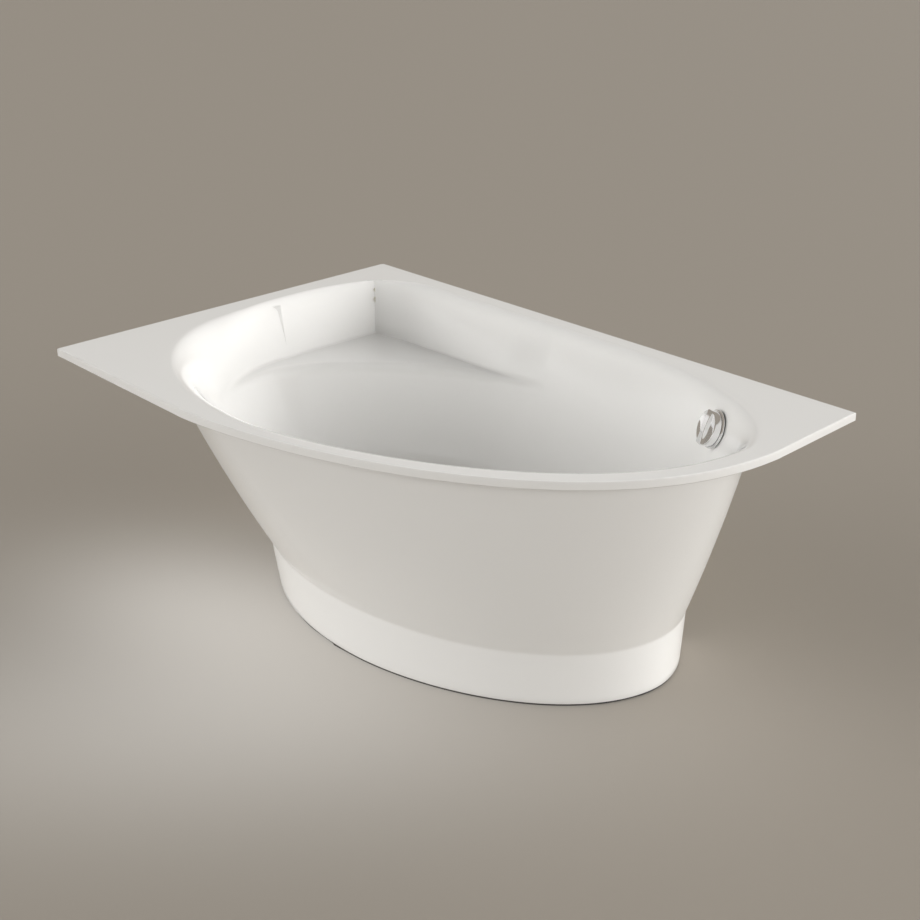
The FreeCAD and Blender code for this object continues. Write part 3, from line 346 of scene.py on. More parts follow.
def bowl_oval(depth):
    """The inside of the bowl at a depth."""
    o = blended(BOWL_RIM, BOWL_FOOT, depth / BOWL_DEPTH)
    rise = max(0.0, FLOOR_ROUND - BOWL_DEPTH + depth)
    tuck = FLOOR_ROUND - sqrt(max(FLOOR_ROUND ** 2 - rise ** 2, 0.0))
    o["left"] += soften(SOFT_EDGE["left"], depth) + tuck
    o["right"] -= soften(SOFT_EDGE["right"], depth) + tuck
    o["front"] += soften(SOFT_EDGE["front"], depth) + tuck
    o["back"] -= soften(SOFT_EDGE["back"], depth) + tuck
    return o


def shelf_line(depth):
    """The shelf's two walls at a depth, from inside the bowl at the back over the
    crease to inside the bowl at the front left. The long wall leaves the crease as a
    quarter sine; the short wall as one minus a falling power, which has no kink where
    it turns straight, and at its front end it turns in as a power too."""
    share = depth / SHELF_DEPTH
    wall_lean = SHELF_WALL_Y - SHELF_WALL_FOOT_Y - soften(SHELF_WALL_SOFT, SHELF_DEPTH)
    side_lean = SHELF_SIDE_FOOT_X - SHELF_SIDE_X - soften(SHELF_SIDE_SOFT, SHELF_DEPTH)
    wall_y = SHELF_WALL_Y - soften(SHELF_WALL_SOFT, depth) - wall_lean * share
    side_x = SHELF_SIDE_X + soften(SHELF_SIDE_SOFT, depth) + side_lean * share
    x = np.linspace(SHELF_WALL_END, SHELF_WALL_TURN, 12)
    wall = np.column_stack([x, wall_y - SHELF_WALL_SLOPE * (x - SHELF_WALL_TURN)])
    step = np.linspace(1.0, 0.0, 60)
    bend = np.column_stack([CREASE[0] + SHELF_BEND * step,
                            CREASE[1] + (wall_y - CREASE[1]) * np.sin(pi / 2 * step)])
    y = np.linspace(CREASE[1] - 2.0, SHELF_SIDE_END, 240)
    down = np.clip((CREASE[1] - y) / SHELF_SIDE_BEND, 0.0, 1.0)
    x = CREASE[0] + (side_x - CREASE[0]) * (1 - (1 - down) ** SHELF_SIDE_POWER)
    turned = np.clip((SHELF_TURN_START - y) / SHELF_TURN_SPAN, 0.0, None)
    x += SHELF_TURN_IN * turned ** SHELF_TURN_POWER
    return np.vstack([wall, bend, np.column_stack([x, y])])


def rim_outline(inset):
    """The rim's outline: two straight wall edges and the front as one quarter oval."""
    t = np.linspace(pi / 2, 0.0, 160)
    reach_x = LENGTH - FRONT_PEAK_X - inset
    reach_y = WIDTH + END_PEAK_Y - inset
    front = np.column_stack([
        FRONT_PEAK_X + reach_x * np.clip(np.cos(t), 0, 1) ** (2 / RIM_POWERS[0]),
        END_PEAK_Y - reach_y * np.clip(np.sin(t), 0, 1) ** (2 / RIM_POWERS[1])])
    return np.vstack([[inset, -inset], [inset, -SHORT_WALL + inset], front,
                      [LONG_WALL - inset, -inset]])


def shell_angles(count, ridge):
    """Directions from the waste, spaced along the top edge of the bowl, closer at the
    shelf's crease and at the ridge where the shelf meets the bowl, with one exactly on
    each rim corner and on the crease."""
    samples = 12000
    crease_crowd, crease_width = 5, 0.02
    ridge_crowd, ridge_shift, ridge_width = 2.5, 0.04, 0.07
    fine = np.linspace(0, 2 * pi, samples, endpoint=False)
    bowl = reach(oval(bowl_oval(0.0)), fine)
    shelf = reach(shelf_line(0.0), fine, closed=False)
    edge = larger(bowl, shelf, ridge)
    crease = np.arctan2(CREASE[1] - WASTE[1], CREASE[0] - WASTE[0]) % (2 * pi)
    meets = fine[np.argmax(shelf > bowl)]
    dense = (1 + crease_crowd * np.exp(-((fine - crease) / crease_width) ** 2)
             + ridge_crowd * np.exp(-((fine - meets - ridge_shift) / ridge_width) ** 2))
    step = np.hypot(np.diff(edge * np.cos(fine)), np.diff(edge * np.sin(fine)))
    length = np.concatenate([[0], np.cumsum(step * dense[1:])])
    angles = np.interp(np.linspace(0, length[-1], count, endpoint=False), length, fine)
    for x, y in [(0, 0), (0, -SHORT_WALL), (LONG_WALL, 0), CREASE]:
        angle = np.arctan2(y - WASTE[1], x - WASTE[0]) % (2 * pi)
        angles[np.argmin(np.abs(angles - angle))] = angle
    return angles


def shelf_rows(bowl_at, cavity, edge_round, steps):
    """Rows down the wall, over the shelf and its edge to the bowl's wall. The corners
    at the shelf's foot and edge are quadratic bends. Where the shelf's width runs out,
    its foot and edge part in height, so the rows stay apart on the bowl's own wall."""
    above = SHELF_DEPTH - SHELF_ABOVE
    below = SHELF_DEPTH + SHELF_BELOW
    top = cavity(above)
    rim = cavity(SHELF_DEPTH)
    inner = np.minimum(bowl_at(SHELF_DEPTH), rim)
    width = rim - inner
    part = SHELF_FADE * np.exp(-width / SHELF_FADE_WIDTH)
    slope_up = (cavity(SHELF_DEPTH - SHELF_FADE) - rim) / SHELF_FADE
    slope_down = (bowl_at(SHELF_DEPTH + SHELF_FADE)
                  - bowl_at(SHELF_DEPTH)) / SHELF_FADE
    wall = np.stack([top, above + 0 * top])
    foot = np.stack([rim + slope_up * part, SHELF_DEPTH - part])
    edge = np.stack([inner + slope_down * part, SHELF_DEPTH + part])
    bowl = np.stack([bowl_at(below), below + 0 * top])
    run = np.hypot(*(edge - foot))

    def toward(a, b, cut):
        step = b - a
        return a + step * np.minimum(cut / (np.hypot(*step) + 1e-9), 0.9)

    def bend(a, corner, b, share):
        return (1 - share) ** 2 * a + 2 * share * (1 - share) * corner + share ** 2 * b

    foot_cut = np.minimum(SHELF_FOOT_ROUND, 0.4 * run)
    edge_cut = np.minimum(edge_round, 0.5 * run)
    foot_in = toward(foot, wall, foot_cut)
    foot_out = toward(foot, edge, foot_cut)
    edge_in = toward(edge, foot, edge_cut)
    edge_out = toward(edge, bowl, np.minimum(edge_cut, SHELF_EDGE_LOWER))
    marks = (0.0, 0.14, 0.32, 0.56, 0.92, 1.0)
    pieces = [lambda s: wall + (foot_in - wall) * s,
              lambda s: bend(foot_in, foot, foot_out, s),
              lambda s: foot_out + (edge_in - foot_out) * s,
              lambda s: bend(edge_in, edge, edge_out, s),
              lambda s: edge_out + (bowl - edge_out) * s]
    rows = []
    for share in np.linspace(0.0, 1.0, steps):
        k = min(int(np.searchsorted(marks, share, side="right")) - 1, len(pieces) - 1)
        rows.append(tuple(pieces[k]((share - marks[k]) / (marks[k + 1] - marks[k]))))
    return rows


def shell_profile(angles, settings):
    """Rows of (distance from the waste, depth) from the foot of the lip over the deck,
    the soft edge, the shelf and the bowl's wall to the waste hole, and the number of
    the row where the deck starts."""
    ridge = settings.ridge_round * 1000
    rows = []

    def add(distance, depth):
        rows.append((distance + np.zeros(len(angles)), depth + np.zeros(len(angles))))

    def bowl_at(depth):
        return reach(oval(bowl_oval(depth)), angles)

    def cavity(depth):
        return larger(bowl_at(depth), reach(shelf_line(depth), angles, closed=False),
                      ridge)

    edge_round = settings.lip_round * 1000
    add(reach(rim_outline(LIP_DRAW), angles), LIP)
    for depth in (LIP - LIP_DRAW, (LIP + edge_round) / 2, edge_round):
        add(reach(rim_outline(0.0), angles), depth)
    for turn in np.linspace(0, pi / 2, 6)[1:]:
        add(reach(rim_outline(edge_round * (1 - cos(turn))), angles),
            edge_round * (1 - sin(turn)))
    outer = reach(rim_outline(edge_round + DECK_STEP), angles)
    deck = len(rows)
    add(outer, 0.0)
    inner = cavity(0.0)
    for share in (0.35, 0.7, 0.93):
        add(outer + (inner - outer) * share, 0.0)
    soft = max(SOFT_EDGE.values())
    for turn in np.linspace(0, pi / 2, 14):
        add(cavity(soft * (1 - cos(turn))), soft * (1 - cos(turn)))
    for depth in np.linspace(soft, SHELF_DEPTH - SHELF_ABOVE, 7)[1:-1]:
        add(cavity(depth), depth)
    rows += shelf_rows(bowl_at, cavity, settings.shelf_round * 1000, 36)
    start = BOWL_DEPTH - FLOOR_ROUND
    for depth in np.linspace(SHELF_DEPTH + SHELF_BELOW, start, 13)[1:]:
        add(bowl_at(depth), depth)
    for turn in np.linspace(0, pi / 2, 12)[1:]:
        add(bowl_at(start + FLOOR_ROUND * sin(turn)), start + FLOOR_ROUND * sin(turn))
    flat = bowl_at(BOWL_DEPTH)
    for share in (0.06, 0.16, 0.3, 0.46, 0.62, 0.78, 0.9, 0.97, 1.0):
        add(flat + (WASTE_HOLE + 1.0 - flat) * share, BOWL_DEPTH)
    add(WASTE_HOLE, BOWL_DEPTH + 1.0)
    return rows, deck


def grid_normals(points):
    """Unit normals of a grid closed along its columns: the cross product of the central
    differences along and down, turned to face up."""
    along = np.roll(points, -1, axis=1) - np.roll(points, 1, axis=1)
    down = np.gradient(points, axis=0)
    normal = np.cross(along, down)
    normal /= np.maximum(np.linalg.norm(normal, axis=2, keepdims=True), 1e-12)
    return normal * np.where(normal[:, :, 2:] < 0, -1.0, 1.0)


def ring_at(angles, distance, height):
    """One row of points at a distance from the waste and a height."""
    return np.column_stack([WASTE[0] + distance * np.cos(angles),
                            WASTE[1] + distance * np.sin(angles),
                            height + 0 * angles])


def shell_skins(settings):
    """The acrylic sheet and the laminate under it, each as one closed grid. A skin's
    lower side is its upper side set back along the normals by its thickness."""
    angles = shell_angles(settings.columns, settings.ridge_round * 1000)
    sheet = settings.sheet * 1000
    rows, deck = shell_profile(angles, settings)
    top = np.stack([ring_at(angles, distance, HEIGHT - depth)
                    for distance, depth in rows])
    normals = grid_normals(top)

    def set_back(thickness, first, hole_depth):
        skin = (top - normals * thickness)[first:]
        picked = np.r_[0:len(skin) - 1:2, len(skin) - 1]
        skin = skin[picked]
        skin[-1] = ring_at(angles, WASTE_HOLE, HEIGHT - hole_depth)
        return skin

    under = set_back(sheet, deck, BOWL_DEPTH + sheet)
    inside = reach(rim_outline(sheet), angles)
    under[0] = ring_at(angles, inside, HEIGHT - sheet)
    lip = ring_at(angles, inside, HEIGHT - LIP)
    acrylic = np.concatenate([top, under[::-1], lip[None]])

    edge = deck + LAMINATE_ROW
    sides = [set_back(sheet + away, edge, BOWL_DEPTH + sheet + away)
             for away in (SKIN_GAP, LAMINATE)]
    for side in sides:
        side[0, :, 2] = np.minimum(side[0, :, 2], HEIGHT - sheet - LAMINATE_DROP)
    laminate = np.concatenate([sides[0], sides[1][::-1]])
    return acrylic, laminate


# ------------------------------------------------------------------ overflow place
def bowl_wall(x, depth):
    """A point on the bowl's back right quarter."""
    o = bowl_oval(depth)
    along = (x - o["x_back_right"]) / (o["right"] - o["x_back_right"])
    across = sqrt(1 - along ** o["back_right"][0]) ** (2 / o["back_right"][1])
    return Vector((x, o["y_right"] + (o["back"] - o["y_right"]) * across,
                   HEIGHT - depth))


def overflow_matrix():
    """From the overflow's own millimetres, z out of the wall, to the frame's metres."""
    step = 2.0
    origin = bowl_wall(OVERFLOW_X, OVERFLOW_DEPTH)
    along = (bowl_wall(OVERFLOW_X + step, OVERFLOW_DEPTH)
             - bowl_wall(OVERFLOW_X - step, OVERFLOW_DEPTH))
    upward = (bowl_wall(OVERFLOW_X, OVERFLOW_DEPTH - step)
              - bowl_wall(OVERFLOW_X, OVERFLOW_DEPTH + step))
    out = along.cross(upward).normalized()
    side = Vector((0, 0, 1)).cross(out).normalized()
    turn = Matrix((side, out.cross(side), out)).transposed().to_4x4()
    shift = Matrix.Translation(Vector(to_frame([origin])[0]))
    return shift @ turn @ Matrix.Scale(0.001, 4)


def at_overflow(points):
    matrix = np.array(overflow_matrix())
    return np.asarray(points, float) @ matrix[:3, :3].T + matrix[:3, 3]


def cut_round(piece, radius, low, high, segments=96):
    """Cuts a round hole along the overflow's axis through a piece."""
    points, faces = revolve([(radius, low), (radius, high)], segments, wrap=False)
    faces.append(list(range(segments)))
    faces.append(list(range(2 * segments - 1, segments - 1, -1)))
    mesh = bpy.data.meshes.new("cutter")
    mesh.from_pydata(at_overflow(points).tolist(), [], faces)
    cutter = bpy.data.objects.new("cutter", mesh)
    bpy.context.scene.collection.objects.link(cutter)
    cut = piece.modifiers.new("overflow_hole", "BOOLEAN")
    cut.operation = "DIFFERENCE"
    cut.solver = "EXACT"
    cut.object = cutter
    graph = bpy.context.evaluated_depsgraph_get()
    result = bpy.data.meshes.new_from_object(piece.evaluated_get(graph))
    piece.modifiers.clear()
    piece.data = result
    bpy.data.objects.remove(cutter)
    bpy.data.meshes.remove(mesh)


# ------------------------------------------------------------------ finishes
def node_group(name, sockets, outputs):
    """A node group with its named inputs and outputs."""
    group = bpy.data.node_groups.new(name, "ShaderNodeTree")
    for kind, label, value in sockets:
        socket = group.interface.new_socket(name=label, in_out="INPUT", socket_type=kind)
        socket.default_value = value
    for kind, label in outputs:
        group.interface.new_socket(name=label, in_out="OUTPUT", socket_type=kind)
    return group, group.nodes.new("NodeGroupInput"), group.nodes.new("NodeGroupOutput")


def math_node(tree, operation, first, second=None, third=None):
    """A math node with each input linked or set."""
    node = tree.nodes.new("ShaderNodeMath")
    node.operation = operation
    for socket, value in zip(node.inputs, (first, second, third)):
        if value is None:
            continue
        if isinstance(value, (int, float)):
            socket.default_value = value
        else:
            tree.links.new(value, socket)
    return node.outputs[0]


def texture(tree, kind, place, output, **values):
    """A texture at a place, with its other inputs linked or set."""
    node = tree.nodes.new("ShaderNodeTex" + kind)
    tree.links.new(place, node.inputs["Vector"])
    for label, value in values.items():
        if isinstance(value, float):
            node.inputs[label].default_value = value
        else:
            tree.links.new(value, node.inputs[label])
    return node.outputs[output]


def surface_detail():
    """Shared by most finishes: clouds tint the colour, fine grain moves the roughness
    and gives a bump."""
    made = bpy.data.node_groups.get("surface_detail")
    if made:
        return made
    colour = "NodeSocketColor"
    number = "NodeSocketFloat"
    group, start, end = node_group("surface_detail", [
        (colour, "Colour", (0.8, 0.8, 0.8, 1)), (colour, "Tint", (0.6, 0.6, 0.6, 1)),
        (number, "Amount", 0.1), (number, "Scale", 8.0), (number, "Roughness", 0.4),
        (number, "Spread", 0.05), (number, "Grain", 300.0), (number, "Depth", 0.0001)],
        [(colour, "Colour"), (number, "Roughness"), ("NodeSocketVector", "Normal")])
    place = group.nodes.new("ShaderNodeTexCoord").outputs["Object"]
    cloud = texture(group, "Noise", place, "Fac", Detail=5.0, Scale=start.outputs["Scale"])
    grain = texture(group, "Noise", place, "Fac", Detail=3.0, Scale=start.outputs["Grain"])
    mix = group.nodes.new("ShaderNodeMix")
    mix.data_type = "RGBA"
    link = group.links.new
    link(math_node(group, "MULTIPLY", cloud, start.outputs["Amount"]),
         mix.inputs["Factor"])
    link(start.outputs["Colour"], mix.inputs["A"])
    link(start.outputs["Tint"], mix.inputs["B"])
    bump = group.nodes.new("ShaderNodeBump")
    link(grain, bump.inputs["Height"])
    link(start.outputs["Depth"], bump.inputs["Distance"])
    link(mix.outputs["Result"], end.inputs["Colour"])
    link(math_node(group, "MULTIPLY_ADD", grain, start.outputs["Spread"],
                   start.outputs["Roughness"]), end.inputs["Roughness"])
    link(bump.outputs["Normal"], end.inputs["Normal"])
    return group


def blank_material(name, metallic=0.0, coat=0.0):
    material = bpy.data.materials.new(name)
    material.use_nodes = True
    shader = material.node_tree.nodes["Principled BSDF"]
    shader.inputs["Metallic"].default_value = metallic
    shader.inputs["Coat Weight"].default_value = coat
    shader.inputs["Coat Roughness"].default_value = 0.03
    return material, material.node_tree, shader


def detailed(name, colour, tint, detail, metallic=0.0, coat=0.0):
    """A finish made by the surface detail group. detail is its amount, scale,
    roughness, spread, grain and depth."""
    material, tree, shader = blank_material(name, metallic, coat)
    group = tree.nodes.new("ShaderNodeGroup")
    group.node_tree = surface_detail()
    group.inputs["Colour"].default_value = (*colour, 1)
    group.inputs["Tint"].default_value = (*tint, 1)
    labels = ("Amount", "Scale", "Roughness", "Spread", "Grain", "Depth")
    for label, value in zip(labels, detail):
        group.inputs[label].default_value = value
    tree.links.new(group.outputs["Colour"], shader.inputs["Base Color"])
    tree.links.new(group.outputs["Roughness"], shader.inputs["Roughness"])
    tree.links.new(group.outputs["Normal"], shader.inputs["Normal"])
    return material


def ramped(tree, shader, value, low, high, depth):
    """Colours a value from low to high and bumps the surface with it."""
    ramp = tree.nodes.new("ShaderNodeValToRGB")
    ramp.color_ramp.elements[0].color = (*low, 1)
    ramp.color_ramp.elements[1].color = (*high, 1)
    tree.links.new(value, ramp.inputs["Fac"])
    tree.links.new(ramp.outputs["Color"], shader.inputs["Base Color"])
    bump = tree.nodes.new("ShaderNodeBump")
    bump.inputs["Distance"].default_value = depth
    tree.links.new(value, bump.inputs["Height"])
    tree.links.new(bump.outputs["Normal"], shader.inputs["Normal"])


def patterned(name, light, dark, pattern, depth, roughness):
    """A finish coloured and bumped by a pattern of the object's own coordinates."""
    material, tree, shader = blank_material(name)
    place = tree.nodes.new("ShaderNodeTexCoord").outputs["Object"]
    ramped(tree, shader, pattern(tree, place), dark, light, depth)
    shader.inputs["Roughness"].default_value = roughness
    return material


def softwood(tree, place):
    """Planed softwood: rings bent by noise, drawn out along x."""
    shape = tree.nodes.new("ShaderNodeMapping")
    shape.inputs["Scale"].default_value = (0.7, 16.0, 16.0)
    tree.links.new(place, shape.inputs["Vector"])
    return texture(tree, "Wave", shape.outputs["Vector"], "Fac", Scale=3.0,
                   Distortion=7.0, Detail=4.0)


def chipboard(tree, place):
    """Raw particle board: small flakes of different browns."""
    grey = tree.nodes.new("ShaderNodeRGBToBW")
    tree.links.new(texture(tree, "Voronoi", place, "Color", Scale=260.0),
                   grey.inputs["Color"])
    return grey.outputs["Val"]


def glass_laminate(tree, place):
    """Sprayed glass fibre: chopped strands as bent cells under a rough resin."""
    mixed = tree.nodes.new("ShaderNodeMix")
    mixed.data_type = "VECTOR"
    mixed.inputs["Factor"].default_value = 0.12
    tree.links.new(place, mixed.inputs["A"])
    tree.links.new(texture(tree, "Noise", place, "Color", Scale=14.0), mixed.inputs["B"])
    return texture(tree, "Voronoi", mixed.outputs["Result"], "Distance", Scale=90.0)


# Finishes by slot. Plain ones: colour, or the setting that holds it; tint, or the share
# of the colour that it is; metallic; coat; and the detail's numbers.
PLAIN = {
    "acrylic": ("acrylic", 0.93, 0.0, 0.5, (0.3, 2.5, 0.0, 0.02, 90.0, 0.00001)),
    "panel_acrylic": ("acrylic", 0.93, 0.0, 0.25, (0.3, 2.5, 0.14, 0.03, 120.0, 0.00002)),
    "chrome": ("chrome", (0.80, 0.81, 0.83), 1.0, 0.0,
               (0.2, 20.0, 0.05, 0.03, 500.0, 0.000003)),
    "zinc": ("zinc", (0.36, 0.37, 0.40), 1.0, 0.0,
             (0.8, 55.0, 0.30, 0.16, 700.0, 0.00005)),
    "brass": ((0.72, 0.56, 0.28), (0.46, 0.33, 0.14), 1.0, 0.0,
              (0.6, 60.0, 0.26, 0.12, 900.0, 0.00004)),
    "frame_steel": ("steel", (0.10, 0.10, 0.105), 0.0, 0.1,
                    (0.5, 18.0, 0.40, 0.14, 1200.0, 0.0001)),
    "black_plastic": ((0.022, 0.022, 0.024), (0.05, 0.05, 0.05), 0.0, 0.0,
                      (0.5, 30.0, 0.45, 0.15, 900.0, 0.0001)),
    "grey_plastic": ((0.42, 0.43, 0.44), (0.34, 0.35, 0.36), 0.0, 0.0,
                     (0.4, 24.0, 0.38, 0.10, 800.0, 0.00005)),
    "hose": ((0.50, 0.51, 0.52), (0.40, 0.41, 0.42), 0.0, 0.0,
             (0.4, 40.0, 0.35, 0.12, 600.0, 0.00005)),
    "rubber": ((0.02, 0.02, 0.02), (0.045, 0.045, 0.045), 0.0, 0.0,
               (0.5, 30.0, 0.7, 0.2, 700.0, 0.0001)),
    # near black: the seal strip under the panel's foot gives the thin dark line along the
    # floor, partly the seal's own colour and partly painted shade of the gap under the
    # plinth
    "seal": ((0.06, 0.055, 0.05), (0.10, 0.095, 0.09), 0.0, 0.0,
             (0.4, 20.0, 0.6, 0.2, 500.0, 0.0001)),
}
# Patterned ones: light and dark colour, pattern, depth and roughness.
PATTERNED = {
    "board": ((0.62, 0.47, 0.29), (0.38, 0.26, 0.14), chipboard, 0.0004, 0.85),
    "timber": ((0.72, 0.54, 0.33), (0.52, 0.35, 0.18), softwood, 0.0003, 0.7),
    "laminate": ((0.80, 0.79, 0.70), (0.52, 0.50, 0.40), glass_laminate, 0.002, 0.55),
}


def finish(slot):
    """The material of a slot, made the first time it is asked for."""
    name = "tub_" + slot
    made = bpy.data.materials.get(name)
    if made:
        return made
    if slot in PATTERNED:
        return patterned(name, *PATTERNED[slot])
    look = bpy.context.scene.bathtub_finishes
    colour, tint, metallic, coat, detail = PLAIN[slot]
    detail = list(detail)
    if colour == "acrylic":
        detail[2] += look.gloss
    if isinstance(colour, str):
        colour = tuple(getattr(look, colour))
    if isinstance(tint, float):
        tint = tuple(tint * part for part in colour)
    return detailed(name, colour, tint, detail, metallic, coat)


# ------------------------------------------------------------------ settings
def colour_setting(name, about, value):
    return FloatVectorProperty(name=name, description=about, default=value,
                               subtype="COLOR", min=0, max=1)


def length_setting(name, about, value):
    return FloatProperty(name=name, description=about, default=value, unit="LENGTH")


def angle_setting(name, about, value):
    return FloatProperty(name=name, description=about, default=radians(value),
                         subtype="ANGLE")


def count_setting(name, about, value, least):
    return IntProperty(name=name, description=about, default=value, min=least)


class BathtubFinishes(PropertyGroup):
    acrylic: colour_setting("Acrylic", "Colour of the shell and the panel",
                            (0.87, 0.868, 0.855))
    gloss: FloatProperty(
        name="Shell roughness", description="Roughness of the polished acrylic",
        default=0.10, min=0, max=1, subtype="FACTOR")
    chrome: colour_setting("Chrome", "Colour of the chrome plating", (0.90, 0.90, 0.91))
    zinc: colour_setting("Zinc", "Colour of plated screws, rods and brackets",
                         (0.62, 0.64, 0.67))
    steel: colour_setting("Frame", "Colour of the coated steel frame",
                          (0.055, 0.058, 0.062))


class BathtubShell(PropertyGroup):
    sheet: length_setting("Sheet", "Thickness of the acrylic sheet", 0.005)
    lip_round: length_setting("Lip rounding", "Radius of the rim's outer edge", 0.003)
    shelf_round: length_setting("Shelf edge", "Length of the bend over the shelf's edge",
                                0.034)
    ridge_round: length_setting("Ridge rounding",
                                "Softness where the shelf meets the bowl", 0.024)
    columns: count_setting("Columns", "Columns of the shell's grid", 500, 100)


class BathtubPanel(PropertyGroup):
    thickness: length_setting("Thickness", "Thickness of the front panel", 0.004)
    waist_round: length_setting("Waist rounding",
                                "Half height of the soft crease at the waist", 0.004)
    columns: count_setting("Columns", "Columns of the panel's grid", 300, 60)


class BathtubFittings(PropertyGroup):
    rosette: length_setting("Rosette radius", "Radius of the overflow's ring", 0.045)
    knob: length_setting("Knob radius", "Radius of the turning knob", 0.041)
    grip: length_setting("Grip height", "How far the knob's grip stands up", 0.005)
    scoop: length_setting("Scoop depth", "Depth of the hollows beside the grip", 0.0035)
    hose_pitch: length_setting("Hose rib", "Distance between two ribs of the hose",
                               0.005)


class BathtubFeet(PropertyGroup):
    thread_pitch: length_setting("Thread pitch", "Pitch of the threaded rods", 0.0015)
    thread_depth: length_setting("Thread depth", "Depth of the thread", 0.0008)
    edge: length_setting("Frame edge", "Rounding of the steel tubes' edges", 0.002)


class BathtubStudio(PropertyGroup):
    floor: colour_setting("Floor", "Colour of the studio floor", (0.335, 0.302, 0.260))
    # painted light: the colour of the pool of light that the floor's material glows with
    pool: colour_setting("Light pool", "Colour of the soft light on the floor",
                         (1.0, 0.985, 0.95))
    lens: FloatProperty(
        name="Lens", description="Focal length of the camera", default=73.19,
        unit="CAMERA")
    azimuth: angle_setting("Azimuth", "Camera's turn about the tub", 46.61)
    elevation: angle_setting("Elevation", "Camera's height angle", 22.52)


SETTINGS = {"bathtub_finishes": BathtubFinishes, "bathtub_shell": BathtubShell,
            "bathtub_panel": BathtubPanel, "bathtub_fittings": BathtubFittings,
            "bathtub_feet": BathtubFeet, "bathtub_studio": BathtubStudio}


# ------------------------------------------------------------------ shell, panel
class BATHTUB_OT_shell(Operator):
    """Build the acrylic shell with its corner shelf, and the laminate under it"""
    bl_idname = "bathtub.shell"
    bl_label = "Shell and laminate"

    def execute(self, context):
        acrylic, laminate = shell_skins(context.scene.bathtub_shell)
        for name, grid, slot, node in (
                ("shell_surface", acrylic, "acrylic", "tub_shell"),
                ("laminate_surface", laminate, "laminate", "reinforcement_layer")):
            rows, columns = grid.shape[:2]
            piece = make_mesh(name, to_frame(grid.reshape(-1, 3)),
                              grid_faces(rows, columns, wrap_rows=True, flip=True),
                              "tub", slot, (node,), smooth=42.0)
            cut_round(piece, OVERFLOW_HOLE, *OVERFLOW_CUT)
        return {"FINISHED"}


def panel_oval(depth):
    """The panel's outside at a depth."""
    waist = HEIGHT - WAIST_HEIGHT
    if depth > waist:
        return blended(PANEL_WAIST, PANEL_FOOT, (depth - waist) / WAIST_HEIGHT)
    share = max(depth - PANEL_TOP_DEPTH, 0) / (waist - PANEL_TOP_DEPTH)
    share -= PANEL_BULGE * share * (1 - share)
    return blended(PANEL_RIM, PANEL_WAIST, share)


def panel_line(depth, grow, count):
    """The panel's outline at a depth from its left end round the front to its right
    end, evenly divided by length."""
    quarter = 160
    points = oval(panel_oval(depth), grow, quarter)
    points = np.vstack([points[quarter:], points[:quarter]])
    ahead = np.argmax(points[:, 1] < PANEL_END_LEFT)
    points = points[ahead - 1:]
    share = (PANEL_END_LEFT - points[0, 1]) / (points[1, 1] - points[0, 1])
    points[0] += (points[1] - points[0]) * share
    rear = np.argmax((points[:, 1] > PANEL_END_RIGHT) & (points[:, 0] > 900.0))
    points = points[:rear + 1]
    share = (PANEL_END_RIGHT - points[-2, 1]) / (points[-1, 1] - points[-2, 1])
    points[-1] = points[-2] + (points[-1] - points[-2]) * share
    length = np.concatenate([[0], np.cumsum(np.hypot(*np.diff(points, axis=0).T))])
    even = np.linspace(0, length[-1], count)
    return np.column_stack([np.interp(even, length, points[:, 0]),
                            np.interp(even, length, points[:, 1])])


def sheet_faces(rows, columns):
    """Faces of two grids, outer then inner, joined round their four edges."""
    far = rows * columns
    faces = grid_faces(rows, columns, wrap_columns=False)
    faces += [[k + far for k in face[::-1]] for face in faces]
    edges = ((list(range(columns)), False),
             (list(range((rows - 1) * columns, far)), True),
             (list(range(0, far, columns)), True),
             (list(range(columns - 1, far, columns)), False))
    for line, turned in edges:
        for a, b in zip(line[:-1], line[1:]):
            face = [b, a, a + far, b + far]
            faces.append(face[::-1] if turned else face)
    return faces


